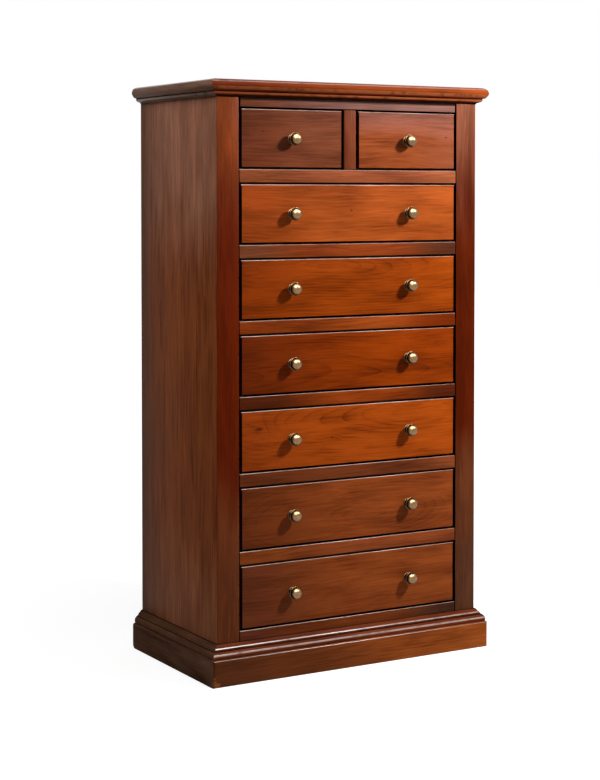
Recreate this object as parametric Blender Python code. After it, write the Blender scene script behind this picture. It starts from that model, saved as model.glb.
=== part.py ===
"""Tall chest of drawers: two small drawers side by side over six wide ones.

Metres, +Z up. The origin is on the floor under the middle of the chest's bounding box,
knobs included, and the drawers open towards -Y. The chest is a solid wood carcass with
a flush face frame, a mitred cornice and plinth, and drawers that run on wooden frames.
"""
import math

import bpy
import bmesh
from mathutils import Vector

# Clearance between pieces that touch, how far a cutter runs past the wood, and how near
# two points count as one
FIT_GAP = 0.0003
OVERRUN = 0.010
MERGE_DISTANCE = 0.00003

# Carcass
CHEST_HEIGHT = 1.300
CARCASS_WIDTH = 0.676
CARCASS_DEPTH = 0.377
BOARD_THICKNESS = 0.020
TOP_THICKNESS = 0.018
BACK_THICKNESS = 0.006
BACK_REBATE_WIDTH = 0.009
SIDE_FLOOR_CLEARANCE = 0.002
HOUSING_DEPTH = 0.005
CORNER_ARRIS = 0.0012

# Face frame
STILE_WIDTH = 0.0535
FRAME_ARRIS = 0.0012
RAIL_HEIGHT = 0.0296
RAIL_DEPTH = 0.045
RAIL_END_GAP = 0.0008
TOP_RAIL_END_GAP = 0.0030
TOP_RAIL_SHOWING = 0.0206
BOTTOM_RAIL_SHOWING = 0.0223
MUNTIN_WIDTH = 0.0315
MUNTIN_DEPTH = 0.020
MUNTIN_OFFSET = -0.0035

# Drawer frames behind the rails
RUNNER_HEIGHT = 0.024
RUNNER_REACH = 0.024
BACK_RAIL_DEPTH = 0.040
RAIL_SHOULDER = 0.002
RAIL_TONGUE = 0.010
GUIDE_HEIGHT = 0.008
GUIDE_CLEARANCE = 0.001
GUIDE_SETBACK = 0.002
STOP_LENGTH = 0.040
STOP_DEPTH = 0.012
STOP_SPREAD_SHARE = 0.32

# Drawer fronts. The rows share the height left between the rails: the top row, a pair of
# small drawers, takes the least and the bottom row the most.
FRONT_HEIGHT_SHARES = (0.1393, 0.1400, 0.1410, 0.1404, 0.1436, 0.1466, 0.1491)
FRONT_THICKNESS = 0.020
FRONT_ARRIS = 0.0012
FRONT_TOP_GAP = 0.0026
FRONT_BOTTOM_GAP = 0.0020
FRONT_SIDE_GAP = 0.0048

# Drawer boxes
BOX_SIDE_THICKNESS = 0.011
BOX_BACK_THICKNESS = 0.010
BOX_BACK_INSET = 0.008
BOX_BACK_HOUSING = 0.004
BOX_BACK_DROP = 0.005
BOX_TOP_DROP = 0.008
BOX_REAR_CLEARANCE = 0.012
FRONT_LAP = 0.008
PANEL_THICKNESS = 0.0045
PANEL_RAISE = 0.010
PANEL_GROOVE = 0.005

# Cornice: shares of its projection and height, from the top down to the carcass
CORNICE_PROJECTION = 0.0225
CORNICE_HEIGHT = 0.038
CORNICE_PROFILE_SHARES = (
    (0.76, 1.00), (0.91, 0.965), (0.98, 0.89), (1.00, 0.77), (1.00, 0.64),
    (0.96, 0.52), (0.88, 0.45), (0.82, 0.44), (0.80, 0.36), (0.74, 0.29),
    (0.68, 0.26), (0.50, 0.24), (0.49, 0.18), (0.43, 0.11), (0.30, 0.04), (0.12, 0.00))

# Plinth moulding, the same way, and the plinth board under it
MOULDING_PROJECTION = 0.0195
MOULDING_HEIGHT = 0.0286
MOULDING_PROFILE_SHARES = (
    (0.08, 1.00), (0.22, 0.95), (0.33, 0.84), (0.40, 0.72), (0.43, 0.64),
    (0.50, 0.55), (0.62, 0.46), (0.80, 0.38), (0.82, 0.36), (0.91, 0.29),
    (0.96, 0.19), (0.98, 0.08), (0.98, 0.00))
PLINTH_PROJECTION = 0.024
PLINTH_HEIGHT = 0.059
PLINTH_TOP_ROUND = 0.004
PLINTH_FOOT_ARRIS = 0.0015
ARC_STEPS = 3

# Knobs: distances out from the drawer front, radii, and the screw behind. The head's
# underside sweeps in to the neck through the flare's points.
ROSE_RADIUS = 0.0113
ROSE_THICKNESS = 0.0025
NECK_RADIUS = 0.0052
NECK_LENGTH = 0.0055
FLARE_LENGTH = 0.0075
FLARE_SHARES = ((0.70, 0.80), (0.28, 0.50), (0.06, 0.20))
HEAD_RADIUS = 0.0146
RIM_THICKNESS = 0.0036
GROOVE_INSET = 0.0020
DOME_HEIGHT = 0.0094
DOME_STEPS = 5
SCREW_RADIUS = 0.0020
SCREW_HEAD_RADIUS = 0.0046
SCREW_HEAD_HEIGHT = 0.0024
KNOB_SIDES = 20
KNOB_SPACING = 0.304

# What follows from the sizes above
KNOB_LENGTH = ROSE_THICKNESS + NECK_LENGTH + FLARE_LENGTH + RIM_THICKNESS + DOME_HEIGHT
HALF_WIDTH = CARCASS_WIDTH / 2
FRONT_Y = (KNOB_LENGTH - CARCASS_DEPTH) / 2
BACK_Y = FRONT_Y + CARCASS_DEPTH
OPENING_WIDTH = CARCASS_WIDTH - 2 * STILE_WIDTH
ROW_GAPS = FRONT_TOP_GAP + FRONT_BOTTOM_GAP
CORNICE_BOTTOM = CHEST_HEIGHT - CORNICE_HEIGHT
ROWS_TOP = CORNICE_BOTTOM - TOP_RAIL_SHOWING
ROWS_BOTTOM = PLINTH_HEIGHT + MOULDING_HEIGHT + BOTTOM_RAIL_SHOWING
ROW_COUNT = len(FRONT_HEIGHT_SHARES)
ROW_PITCH_EXTRA = ROW_GAPS + RAIL_HEIGHT
FRONTS_STACK = ROWS_TOP + RAIL_HEIGHT - ROWS_BOTTOM - ROW_COUNT * ROW_PITCH_EXTRA
CARCASS_TOP = CHEST_HEIGHT - TOP_THICKNESS - FIT_GAP
INNER_BACK_Y = BACK_Y - BACK_THICKNESS - FIT_GAP
FRAME_START_Y = FRONT_Y + BOARD_THICKNESS + FIT_GAP


def make_material(name, colour, roughness, metallic=0):
    material = bpy.data.materials.new(name)
    material.use_nodes = True
    shader = material.node_tree.nodes["Principled BSDF"]
    shader.inputs["Base Color"].default_value = (*colour, 1)
    shader.inputs["Roughness"].default_value = roughness
    shader.inputs["Metallic"].default_value = metallic
    material.diffuse_color = (*colour, 1)
    return material


def mesh_object(name, bm):
    """Turns a bmesh into an object of the scene, with its faces out."""
    bmesh.ops.recalc_face_normals(bm, faces=bm.faces)
    mesh = bpy.data.meshes.new(name)
    bm.to_mesh(mesh)
    bm.free()
    obj = bpy.data.objects.new(name, mesh)
    bpy.context.scene.collection.objects.link(obj)
    return obj


def block(name, low, high):
    """A square board between two opposite corners."""
    bm = bmesh.new()
    bmesh.ops.create_cube(bm, size=1)
    low, high = Vector(low), Vector(high)
    bmesh.ops.scale(bm, vec=high - low, verts=bm.verts)
    bmesh.ops.translate(bm, vec=(low + high) / 2, verts=bm.verts)
    return mesh_object(name, bm)


def ease_front_edges(obj, front_y, arris):
    """Takes a small chamfer off every edge that lies in the front plane."""
    bm = bmesh.new()
    bm.from_mesh(obj.data)
    front = {vertex for vertex in bm.verts if abs(vertex.co.y - front_y) < MERGE_DISTANCE}
    rim = [edge for edge in bm.edges
           if front.issuperset(edge.verts) and edge.calc_face_angle() > math.radians(45)]
    bmesh.ops.bevel(bm, geom=rim, offset=arris, segments=1, affect='EDGES')
    bm.to_mesh(obj.data)
    bm.free()
    return obj


def prism(name, outline, bottom, top):
    """An upright board from its outline in plan."""
    bm = bmesh.new()
    face = bm.faces.new([bm.verts.new((x, y, bottom)) for x, y in outline])
    grown = bmesh.ops.extrude_face_region(bm, geom=[face])
    raised = [item for item in grown["geom"] if isinstance(item, bmesh.types.BMVert)]
    bmesh.ops.translate(bm, vec=(0, 0, top - bottom), verts=raised)
    return mesh_object(name, bm)


def boolean(target, tool, operation):
    """Cuts or joins one solid with another and drops the tool."""
    modifier = target.modifiers.new(operation.lower(), 'BOOLEAN')
    modifier.operation = operation
    modifier.solver = 'EXACT'
    modifier.object = tool
    bpy.context.view_layer.objects.active = target
    bpy.ops.object.modifier_apply(modifier=modifier.name)
    mesh = tool.data
    bpy.data.objects.remove(tool)
    bpy.data.meshes.remove(mesh)


def cut(target, low, high):
    boolean(target, block("cutter", low, high), 'DIFFERENCE')


def dress(obj, material, parent=None):
    obj.data.materials.clear()
    obj.data.materials.append(material)
    obj.parent = parent
    return obj


def turned(name, profile, sides):
    """A solid turned about Y from (radius, distance) points that start and end on the axis."""
    bm = bmesh.new()
    points = [bm.verts.new((radius, -distance, 0)) for radius, distance in profile]
    edges = [bm.edges.new(pair) for pair in zip(points, points[1:])]
    bmesh.ops.spin(bm, geom=points + edges, cent=(0, 0, 0), axis=(0, 1, 0),
                   angle=math.tau, steps=sides, use_merge=True)
    bmesh.ops.remove_doubles(bm, verts=bm.verts, dist=MERGE_DISTANCE)
    obj = mesh_object(name, bm)
    obj.data.shade_smooth()
    obj.data.set_sharp_from_angle(angle=math.radians(35))
    return obj


def arc(centre, radius, start, end, steps):
    """Points of a round edge in a (distance out, height) section; angles in degrees."""
    angles = [math.radians(start + (end - start) * step / steps) for step in range(steps + 1)]
    return [(centre[0] + radius * math.cos(a), centre[1] + radius * math.sin(a)) for a in angles]


def section_at(place, profile):
    """Sets the points of a moulding's section upright in plan.

    place gives the plan position of a point that stands a given distance out."""
    return [(*place(out), height) for out, height in profile]


def loft(name, sections):
    """A closed solid through a row of equal sections, with flat ends."""
    bm = bmesh.new()
    rings = [[bm.verts.new(point) for point in section] for section in sections]
    bm.faces.new(rings[0])
    bm.faces.new(rings[-1])
    count = len(rings[0])
    for ring, following in zip(rings, rings[1:]):
        for i in range(count):
            j = (i + 1) % count
            bm.faces.new((ring[i], ring[j], following[j], following[i]))
    return mesh_object(name, bm)


# Where a section stands on the way round the carcass: the two back ends, the mitres at
# the front corners, and the same mitres opened by half a gap for separate lengths.
def back_end(hand):
    return lambda out: (hand * (HALF_WIDTH + out), BACK_Y)


def corner(hand):
    return lambda out: (hand * (HALF_WIDTH + out), FRONT_Y - out)


def corner_on_front(hand):
    return lambda out: (hand * (HALF_WIDTH + out - FIT_GAP), FRONT_Y - out)


def corner_on_side(hand):
    return lambda out: (hand * (HALF_WIDTH + out), FRONT_Y - out + FIT_GAP)


def profile_from_shares(shares, projection, bottom, height):
    """A moulding's section: its back against the carcass, then its moulded face."""
    face = [(projection * out, bottom + height * up) for out, up in shares]
    return [(FIT_GAP, bottom), (FIT_GAP, bottom + height)] + face


def three_lengths(base_name, profile, material):
    """A front length and two returns, mitred where they meet."""
    front = loft(f"{base_name}_front", [section_at(corner_on_front(-1), profile),
                                        section_at(corner_on_front(1), profile)])
    dress(front, material)
    for side, hand in (("left", -1), ("right", 1)):
        length = loft(f"{base_name}_{side}", [section_at(corner_on_side(hand), profile),
                                              section_at(back_end(hand), profile)])
        dress(length, material)


def make_cornice(material):
    """The cornice is made up as one mitred frame on three sides and dropped over the top."""
    profile = profile_from_shares(CORNICE_PROFILE_SHARES, CORNICE_PROJECTION,
                                  CORNICE_BOTTOM, CORNICE_HEIGHT)
    stations = (back_end(-1), corner(-1), corner(1), back_end(1))
    frame = loft("cornice_moulding", [section_at(place, profile) for place in stations])
    dress(frame, material)


def make_plinth(material):
    """Three boards on the floor with a rounded top edge, and the moulding planted on them."""
    round_centre = (PLINTH_PROJECTION - PLINTH_TOP_ROUND, PLINTH_HEIGHT - PLINTH_TOP_ROUND)
    board = [(FIT_GAP, 0), (FIT_GAP, PLINTH_HEIGHT)]
    board += arc(round_centre, PLINTH_TOP_ROUND, 90, 0, ARC_STEPS)
    board += [(PLINTH_PROJECTION, PLINTH_FOOT_ARRIS), (PLINTH_PROJECTION - PLINTH_FOOT_ARRIS, 0)]
    three_lengths("plinth", board, material)
    moulding = profile_from_shares(MOULDING_PROFILE_SHARES, MOULDING_PROJECTION,
                                   PLINTH_HEIGHT + FIT_GAP, MOULDING_HEIGHT - FIT_GAP)
    three_lengths("plinth_moulding", moulding, material)


def side_outline(hand):
    """A side in plan: mitred to its stile in front, rebated for the back behind."""
    outer = HALF_WIDTH
    inner = HALF_WIDTH - BOARD_THICKNESS
    rebate = inner + BACK_REBATE_WIDTH
    mitre_gap = FIT_GAP * math.sqrt(2)
    points = [
        (outer, FRONT_Y + CORNER_ARRIS + mitre_gap),
        (outer - CORNER_ARRIS / 2, FRONT_Y + CORNER_ARRIS / 2 + mitre_gap),
        (inner, FRONT_Y + BOARD_THICKNESS + mitre_gap),
        (inner, INNER_BACK_Y),
        (rebate, INNER_BACK_Y),
        (rebate, BACK_Y),
        (outer, BACK_Y)]
    return [(hand * x, y) for x, y in points]


def stile_outline(hand):
    """A stile in plan: mitred at the corner, with an eased edge at the drawer opening."""
    outer = HALF_WIDTH
    inner = HALF_WIDTH - STILE_WIDTH
    points = [
        (outer - CORNER_ARRIS, FRONT_Y),
        (outer - CORNER_ARRIS / 2, FRONT_Y + CORNER_ARRIS / 2),
        (outer - BOARD_THICKNESS, FRONT_Y + BOARD_THICKNESS),
        (inner, FRONT_Y + BOARD_THICKNESS),
        (inner, FRONT_Y + FRAME_ARRIS),
        (inner + FRAME_ARRIS, FRONT_Y)]
    return [(hand * x, y) for x, y in points]


def drawer_rows():
    """The bottom and top of each row's opening, from the top row down."""
    rows = []
    top = ROWS_TOP
    for share in FRONT_HEIGHT_SHARES:
        bottom = top - share * FRONTS_STACK - ROW_GAPS
        rows.append((bottom, top))
        top = bottom - RAIL_HEIGHT
    return rows


def small_openings():
    """The left and right edges of the two openings of the top row."""
    half = OPENING_WIDTH / 2
    return ((-half, MUNTIN_OFFSET - MUNTIN_WIDTH / 2), (MUNTIN_OFFSET + MUNTIN_WIDTH / 2, half))


def runner_heights():
    """The underside and top of every frame's runners: seven runners and the kickers on top."""
    heights = [(bottom - RUNNER_HEIGHT, bottom) for bottom, _ in drawer_rows()]
    heights.append((ROWS_TOP, ROWS_TOP + RUNNER_HEIGHT))
    return heights


def make_carcass_boards(wood, hidden_wood):
    for side, hand in (("left", -1), ("right", 1)):
        panel = prism(f"{side}_side", side_outline(hand), SIDE_FLOOR_CLEARANCE, CARCASS_TOP)
        inner = HALF_WIDTH - BOARD_THICKNESS
        edges = sorted((hand * (inner + HOUSING_DEPTH), hand * (inner - OVERRUN)))
        for bottom, top in runner_heights():
            cut(panel, (edges[0], FRONT_Y + BOARD_THICKNESS / 2, bottom - FIT_GAP),
                (edges[1], BACK_Y + OVERRUN, top + FIT_GAP))
        dress(panel, wood)
        stile = prism(f"{side}_stile", stile_outline(hand), SIDE_FLOOR_CLEARANCE, CARCASS_TOP)
        dress(stile, wood)
    top_board = block("top_board", (-HALF_WIDTH, FRONT_Y, CHEST_HEIGHT - TOP_THICKNESS),
                      (HALF_WIDTH, BACK_Y, CHEST_HEIGHT))
    dress(top_board, wood)
    reach = HALF_WIDTH - BOARD_THICKNESS + BACK_REBATE_WIDTH - FIT_GAP
    back = block("back_panel", (-reach, BACK_Y - BACK_THICKNESS, SIDE_FLOOR_CLEARANCE),
                 (reach, BACK_Y, CARCASS_TOP))
    dress(back, hidden_wood)


def comb(name, prongs, start, bar, end, bottom, top):
    """A cutter in plan like a comb: a bar from start to bar, and prongs on to end."""
    outline = [(prongs[0][0], start), (prongs[-1][1], start)]
    for left, right in reversed(prongs):
        outline += [(right, bar), (right, end), (left, end), (left, bar)]
    outline = [outline[0], outline[1]] + outline[3:-1]
    return prism(name, outline, bottom, top)


def make_frame(name, rail, runner, end_gap, centre_line=None, openings=()):
    """A rail of the face frame with the runners behind it, glued up as one frame.

    rail and runner are (bottom, top) heights. A centre line adds a middle runner. Each
    drawer opening gets guides beside its box and two stops behind its front."""
    half_rail = OPENING_WIDTH / 2 - end_gap
    half_frame = HALF_WIDTH - BOARD_THICKNESS + HOUSING_DEPTH - FIT_GAP
    beyond = half_frame + OVERRUN
    before = FRONT_Y - OVERRUN
    behind = INNER_BACK_Y + OVERRUN
    rail_back = FRONT_Y + RAIL_DEPTH
    top = rail[1] + (GUIDE_HEIGHT if openings else 0)
    frame = block(name, (-half_frame, FRONT_Y, rail[0]), (half_frame, INNER_BACK_Y, top))

    # Above the runners only the guides and the stops are left standing
    if openings:
        inset = FRONT_SIDE_GAP - GUIDE_CLEARANCE
        flank = HALF_WIDTH - BOARD_THICKNESS - FIT_GAP
        ways = [(left + inset, right - inset) for left, right in openings]
        prongs = [(-beyond, -flank)] + ways + [(flank, beyond)]
        waste = comb("waste", prongs, before, FRAME_START_Y + GUIDE_SETBACK, behind,
                     runner[1], top + OVERRUN)
        for low, high in stop_blocks(openings, runner[1]):
            cut(waste, low, high)
        boolean(frame, waste, 'DIFFERENCE')

    # The rail is deeper than the runners: they are flush at its top, or over the first row
    # at its bottom
    prongs = [(-beyond, -half_rail - RAIL_SHOULDER), (half_rail + RAIL_SHOULDER, beyond)]
    low, high = (rail[0] - OVERRUN, runner[0]) if runner[0] > rail[0] else (runner[1], top + OVERRUN)
    relief = comb("relief", prongs, behind, rail_back, before, low, high)
    boolean(frame, relief, 'DIFFERENCE')

    # The stiles stand in the two front corners
    for edges in ((-beyond, -half_rail), (half_rail, beyond)):
        cut(frame, (edges[0], before, rail[0] - OVERRUN), (edges[1], FRAME_START_Y, top + OVERRUN))

    # The open middle, on each side of a centre runner where there is one
    inner = OPENING_WIDTH / 2 - RUNNER_REACH
    holes = [(-inner, inner)]
    if centre_line is not None:
        half_centre = MUNTIN_WIDTH / 2 + RUNNER_REACH
        holes = [(-inner, centre_line - half_centre), (centre_line + half_centre, inner)]
    for left, right in holes:
        cut(frame, (left, rail_back + RAIL_TONGUE, rail[0] - OVERRUN),
            (right, INNER_BACK_Y - BACK_RAIL_DEPTH, top + OVERRUN))
    return ease_front_edges(frame, FRONT_Y, FRAME_ARRIS)


def stop_blocks(openings, floor):
    """The two blocks behind each drawer front that stop it flush with the face frame."""
    start = FRONT_Y + FRONT_THICKNESS + FIT_GAP
    blocks = []
    for left, right in openings:
        middle = (left + right) / 2
        spread = STOP_SPREAD_SHARE * (right - left)
        for centre in (middle - spread, middle + spread):
            blocks.append(((centre - STOP_LENGTH / 2, start, floor - OVERRUN),
                           (centre + STOP_LENGTH / 2, start + STOP_DEPTH, floor + 3 * OVERRUN)))
    return blocks


def make_frames(wood):
    rows = drawer_rows()
    wide_opening = ((-OPENING_WIDTH / 2, OPENING_WIDTH / 2),)
    top_frame = make_frame("top_frame", (ROWS_TOP, CARCASS_TOP), (ROWS_TOP, ROWS_TOP + RUNNER_HEIGHT),
                           TOP_RAIL_END_GAP, MUNTIN_OFFSET)
    dress(top_frame, wood)
    for number, (floor, _) in enumerate(rows, start=1):
        name = "bottom_frame" if number == len(rows) else f"drawer_frame_{number}"
        centre_line = MUNTIN_OFFSET if number == 1 else None
        openings = small_openings() if number == 1 else wide_opening
        frame = make_frame(name, (floor - RAIL_HEIGHT, floor), (floor - RUNNER_HEIGHT, floor),
                           RAIL_END_GAP, centre_line, openings)
        dress(frame, wood)
    floor, ceiling = rows[0]
    muntin = block("centre_muntin", (MUNTIN_OFFSET - MUNTIN_WIDTH / 2, FRONT_Y, floor + FIT_GAP),
                   (MUNTIN_OFFSET + MUNTIN_WIDTH / 2, FRONT_Y + MUNTIN_DEPTH, ceiling - FIT_GAP))
    dress(ease_front_edges(muntin, FRONT_Y, FRAME_ARRIS), wood)


def knob_profile():
    """The whole turned line, from the dome's crown back to the screw head inside the drawer."""
    rim_start = ROSE_THICKNESS + NECK_LENGTH + FLARE_LENGTH
    dome_start = rim_start + RIM_THICKNESS
    dome_radius = HEAD_RADIUS - GROOVE_INSET
    points = [(0, dome_start + DOME_HEIGHT)]
    for step in range(1, DOME_STEPS + 1):
        angle = math.pi / 2 * step / DOME_STEPS
        points.append((dome_radius * math.sin(angle), dome_start + DOME_HEIGHT * math.cos(angle)))
    points += [
        (HEAD_RADIUS, dome_start - RIM_THICKNESS / 4),
        (HEAD_RADIUS, rim_start + RIM_THICKNESS / 4),
        (HEAD_RADIUS - GROOVE_INSET, rim_start)]
    for out, up in FLARE_SHARES:
        points.append((NECK_RADIUS + out * (HEAD_RADIUS - GROOVE_INSET - NECK_RADIUS),
                       rim_start - (1 - up) * FLARE_LENGTH))
    points += [
        (NECK_RADIUS, ROSE_THICKNESS),
        (ROSE_RADIUS, ROSE_THICKNESS / 2),
        (ROSE_RADIUS, FIT_GAP),
        (SCREW_RADIUS, FIT_GAP),
        (SCREW_RADIUS, -FRONT_THICKNESS - FIT_GAP),
        (SCREW_HEAD_RADIUS, -FRONT_THICKNESS - FIT_GAP),
        (SCREW_HEAD_RADIUS - SCREW_HEAD_HEIGHT / 3, -FRONT_THICKNESS - FIT_GAP - SCREW_HEAD_HEIGHT),
        (0, -FRONT_THICKNESS - FIT_GAP - SCREW_HEAD_HEIGHT)]
    return points


class Drawer:
    """One drawer, in its own frame: the origin is at the middle of the front's face."""

    def __init__(self, name, opening, row, knobs):
        left, right = opening
        floor, ceiling = row
        self.name = name
        self.half_width = (right - left) / 2 - FRONT_SIDE_GAP
        self.half_height = (ceiling - floor - ROW_GAPS) / 2
        self.knobs = knobs
        self.root = bpy.data.objects.new(name, None)
        self.root.empty_display_size = self.half_height
        self.root.location = ((left + right) / 2, FRONT_Y,
                              floor + FRONT_BOTTOM_GAP + self.half_height)
        bpy.context.scene.collection.objects.link(self.root)
        # The box sides run on the runners, a little below the front's lower edge
        self.run = -self.half_height - FRONT_BOTTOM_GAP + FIT_GAP
        self.box_top = self.half_height - BOX_TOP_DROP
        self.box_start = FRONT_LAP + FIT_GAP
        self.box_end = INNER_BACK_Y - FRONT_Y - BOX_REAR_CLEARANCE
        self.panel_low = self.run + PANEL_RAISE

    def make_front(self, wood):
        half, top = self.half_width, self.half_height
        front = block(f"{self.name}_front", (-half, 0, -top), (half, FRONT_THICKNESS, top))
        ease_front_edges(front, 0, FRONT_ARRIS)
        socket = BOX_SIDE_THICKNESS + FIT_GAP
        for edges in ((-half - OVERRUN, -half + socket), (half - socket, half + OVERRUN)):
            cut(front, (edges[0], FRONT_LAP, -top - OVERRUN),
                (edges[1], FRONT_THICKNESS + OVERRUN, self.box_top + FIT_GAP))
        groove = half - BOX_SIDE_THICKNESS + PANEL_GROOVE
        cut(front, (-groove, FRONT_THICKNESS - PANEL_GROOVE, self.panel_low - FIT_GAP),
            (groove, FRONT_THICKNESS + OVERRUN, self.panel_low + PANEL_THICKNESS + FIT_GAP))
        for x in self.knobs:
            hole = turned("hole", ((0, OVERRUN), (SCREW_RADIUS + FIT_GAP, OVERRUN),
                                   (SCREW_RADIUS + FIT_GAP, -FRONT_THICKNESS - OVERRUN),
                                   (0, -FRONT_THICKNESS - OVERRUN)), KNOB_SIDES)
            hole.location.x = x
            bpy.context.view_layer.update()
            boolean(front, hole, 'DIFFERENCE')
        dress(front, wood, self.root)

    def make_box(self, wood):
        """Two sides grooved for the bottom, and the back housed between them."""
        outer = self.half_width
        inner = outer - BOX_SIDE_THICKNESS
        groove = (self.panel_low - FIT_GAP, self.panel_low + PANEL_THICKNESS + FIT_GAP)
        box = None
        for hand in (-1, 1):
            edges = sorted((hand * inner, hand * outer))
            side = block(f"{self.name}_box", (edges[0], self.box_start, self.run),
                         (edges[1], self.box_end, self.box_top))
            slot = sorted((hand * (inner - OVERRUN), hand * (inner + PANEL_GROOVE)))
            cut(side, (slot[0], -OVERRUN, groove[0]), (slot[1], self.box_end + OVERRUN, groove[1]))
            if box is None:
                box = side
            else:
                boolean(box, side, 'UNION')
        back_end_y = self.box_end - BOX_BACK_INSET
        reach = inner + BOX_BACK_HOUSING
        back = block("back", (-reach, back_end_y - BOX_BACK_THICKNESS, groove[1] + FIT_GAP),
                     (reach, back_end_y, self.box_top - BOX_BACK_DROP))
        boolean(box, back, 'UNION')
        dress(box, wood, self.root)

    def make_bottom(self, wood):
        reach = self.half_width - BOX_SIDE_THICKNESS + PANEL_GROOVE - FIT_GAP
        start = FRONT_THICKNESS - PANEL_GROOVE + FIT_GAP
        panel = block(f"{self.name}_bottom", (-reach, start, self.panel_low),
                      (reach, self.box_end - BOX_BACK_INSET, self.panel_low + PANEL_THICKNESS))
        dress(panel, wood, self.root)

    def make_knobs(self, metal):
        names = ("knob",) if len(self.knobs) == 1 else ("knob_left", "knob_right")
        for suffix, x in zip(names, self.knobs):
            knob = turned(f"{self.name}_{suffix}", knob_profile(), KNOB_SIDES)
            dress(knob, metal, self.root)
            knob.location.x = x


def make_drawers(front_wood, box_wood, panel_wood, metal):
    rows = drawer_rows()
    left, right = small_openings()
    drawers = [Drawer("drawer_1_left", left, rows[0], (0,)),
               Drawer("drawer_1_right", right, rows[0], (0,))]
    wide = (-OPENING_WIDTH / 2, OPENING_WIDTH / 2)
    places = (-KNOB_SPACING / 2, KNOB_SPACING / 2)
    for number, row in enumerate(rows[1:], start=2):
        drawers.append(Drawer(f"drawer_{number}", wide, row, places))
    for drawer in drawers:
        drawer.make_front(front_wood)
        drawer.make_box(box_wood)
        drawer.make_bottom(panel_wood)
        drawer.make_knobs(metal)


for old in list(bpy.data.objects):
    bpy.data.objects.remove(old)

carcass_wood = make_material("carcass_wood", (0.20, 0.055, 0.025), 0.32)
drawer_front_wood = make_material("drawer_front_wood", (0.27, 0.075, 0.025), 0.32)
drawer_box_wood = make_material("drawer_box_wood", (0.55, 0.37, 0.20), 0.6)
panel_board = make_material("panel_board", (0.45, 0.28, 0.14), 0.7)
antique_brass = make_material("antique_brass", (0.42, 0.33, 0.20), 0.35, 1)

make_carcass_boards(carcass_wood, panel_board)
make_frames(carcass_wood)
make_cornice(carcass_wood)
make_plinth(carcass_wood)
make_drawers(drawer_front_wood, drawer_box_wood, panel_board, antique_brass)
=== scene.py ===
"""The looks of a tall chest of drawers: stained and lacquered cherry, antique brass knobs.

The CAD nodes give every place and size. Each section below makes one piece of the chest,
or a group of like pieces, in the order in which the chest is put together."""
import math

import bpy
from mathutils import Euler, Matrix, Vector


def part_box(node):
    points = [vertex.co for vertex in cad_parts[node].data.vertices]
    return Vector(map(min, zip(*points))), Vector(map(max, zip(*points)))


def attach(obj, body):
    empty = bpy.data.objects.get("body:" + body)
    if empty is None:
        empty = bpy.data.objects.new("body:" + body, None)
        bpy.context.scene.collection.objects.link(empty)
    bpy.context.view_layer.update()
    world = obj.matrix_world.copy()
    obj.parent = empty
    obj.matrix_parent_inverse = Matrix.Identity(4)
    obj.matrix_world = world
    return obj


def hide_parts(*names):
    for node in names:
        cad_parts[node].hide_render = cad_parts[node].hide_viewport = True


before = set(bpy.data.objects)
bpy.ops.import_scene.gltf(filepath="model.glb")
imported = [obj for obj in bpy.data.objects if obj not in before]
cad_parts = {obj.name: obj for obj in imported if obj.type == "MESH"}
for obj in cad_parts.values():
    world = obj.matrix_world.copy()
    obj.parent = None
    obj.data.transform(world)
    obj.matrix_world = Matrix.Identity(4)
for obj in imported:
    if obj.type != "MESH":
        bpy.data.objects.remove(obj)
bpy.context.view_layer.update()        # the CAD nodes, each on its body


# Side panels
# Each side is one board, glued up from five upright staves of cherry, stained brown and
# lacquered. Its front edge is mitred to the stile, its inner face is housed for the drawer
# frames, and its back edge is rebated for the back panel.
STAVE_WIDTH = 0.0755
SIDE_STAIN = "#954f29"
# The side is lighter towards the top: painted light that stands in for light from above at the left. It
# is also paler at the foot and darker towards the back edge
SIDE_SHADES = (("#9d5f40", 0.35, 0.10), ("#a26c54", 0.80, 1.15),
               ("#5c3824", 0.10, 0.21, "Y"))
SOFT_EDGE = 0.0009
MITRE_GAP = 0.0002
HOUSING_DEPTH = 0.005
OVERRUN = 0.010
KNOT_BROWN = "#3a1407"
CHIPPED_WOOD = "#94582e"
DARK_STREAK = (0.48, 0.42, 0.42)
LIGHT_STREAK = (1.45, 1.55, 1.6)
GRAIN_TURNS = {"X": (0, 0, 0), "Y": (0, 0, -math.pi / 2), "Z": (0, math.pi / 2, 0)}


def colour(code, share=(1, 1, 1)):
    """Turns an sRGB hex colour into the linear colour that a shader takes, times a share."""
    parts = [int(code[i:i + 2], 16) / 255 for i in (1, 3, 5)]
    parts = [p / 12.92 if p <= 0.04045 else ((p + 0.055) / 1.055) ** 2.4 for p in parts]
    return [part * level for part, level in zip(parts, share)] + [1]


def set_inputs(tree, node, values):
    """Gives the sockets of a node their values or links."""
    for name, value in values.items():
        if isinstance(value, bpy.types.NodeSocket):
            tree.links.new(value, node.inputs[name])
        else:
            node.inputs[name].default_value = value


def add_node(tree, kind, values, **settings):
    """Adds a node, sets its own settings, and gives its sockets their values or links."""
    node = tree.nodes.new("ShaderNode" + kind)
    for name, setting in settings.items():
        setattr(node, name, setting)
    set_inputs(tree, node, values)
    return node


def new_finish(name):
    """Starts a finish: the material, its nodes, its shader and the place on the piece."""
    material = bpy.data.materials.new(name)
    material.use_nodes = True
    tree = material.node_tree
    place = add_node(tree, "TexCoord", {}).outputs["Object"]
    return material, tree, tree.nodes["Principled BSDF"], place


def stretched_noise(tree, place, cells, detail, start=(0, 0, 0)):
    """Noise drawn out along the grain; cells is how many of its cells a metre holds each way."""
    at = add_node(tree, "Mapping", {"Vector": place, "Location": start, "Scale": cells}).outputs[0]
    return add_node(tree, "TexNoise", {"Vector": at, "Scale": 1.0, "Detail": detail}).outputs


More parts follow.
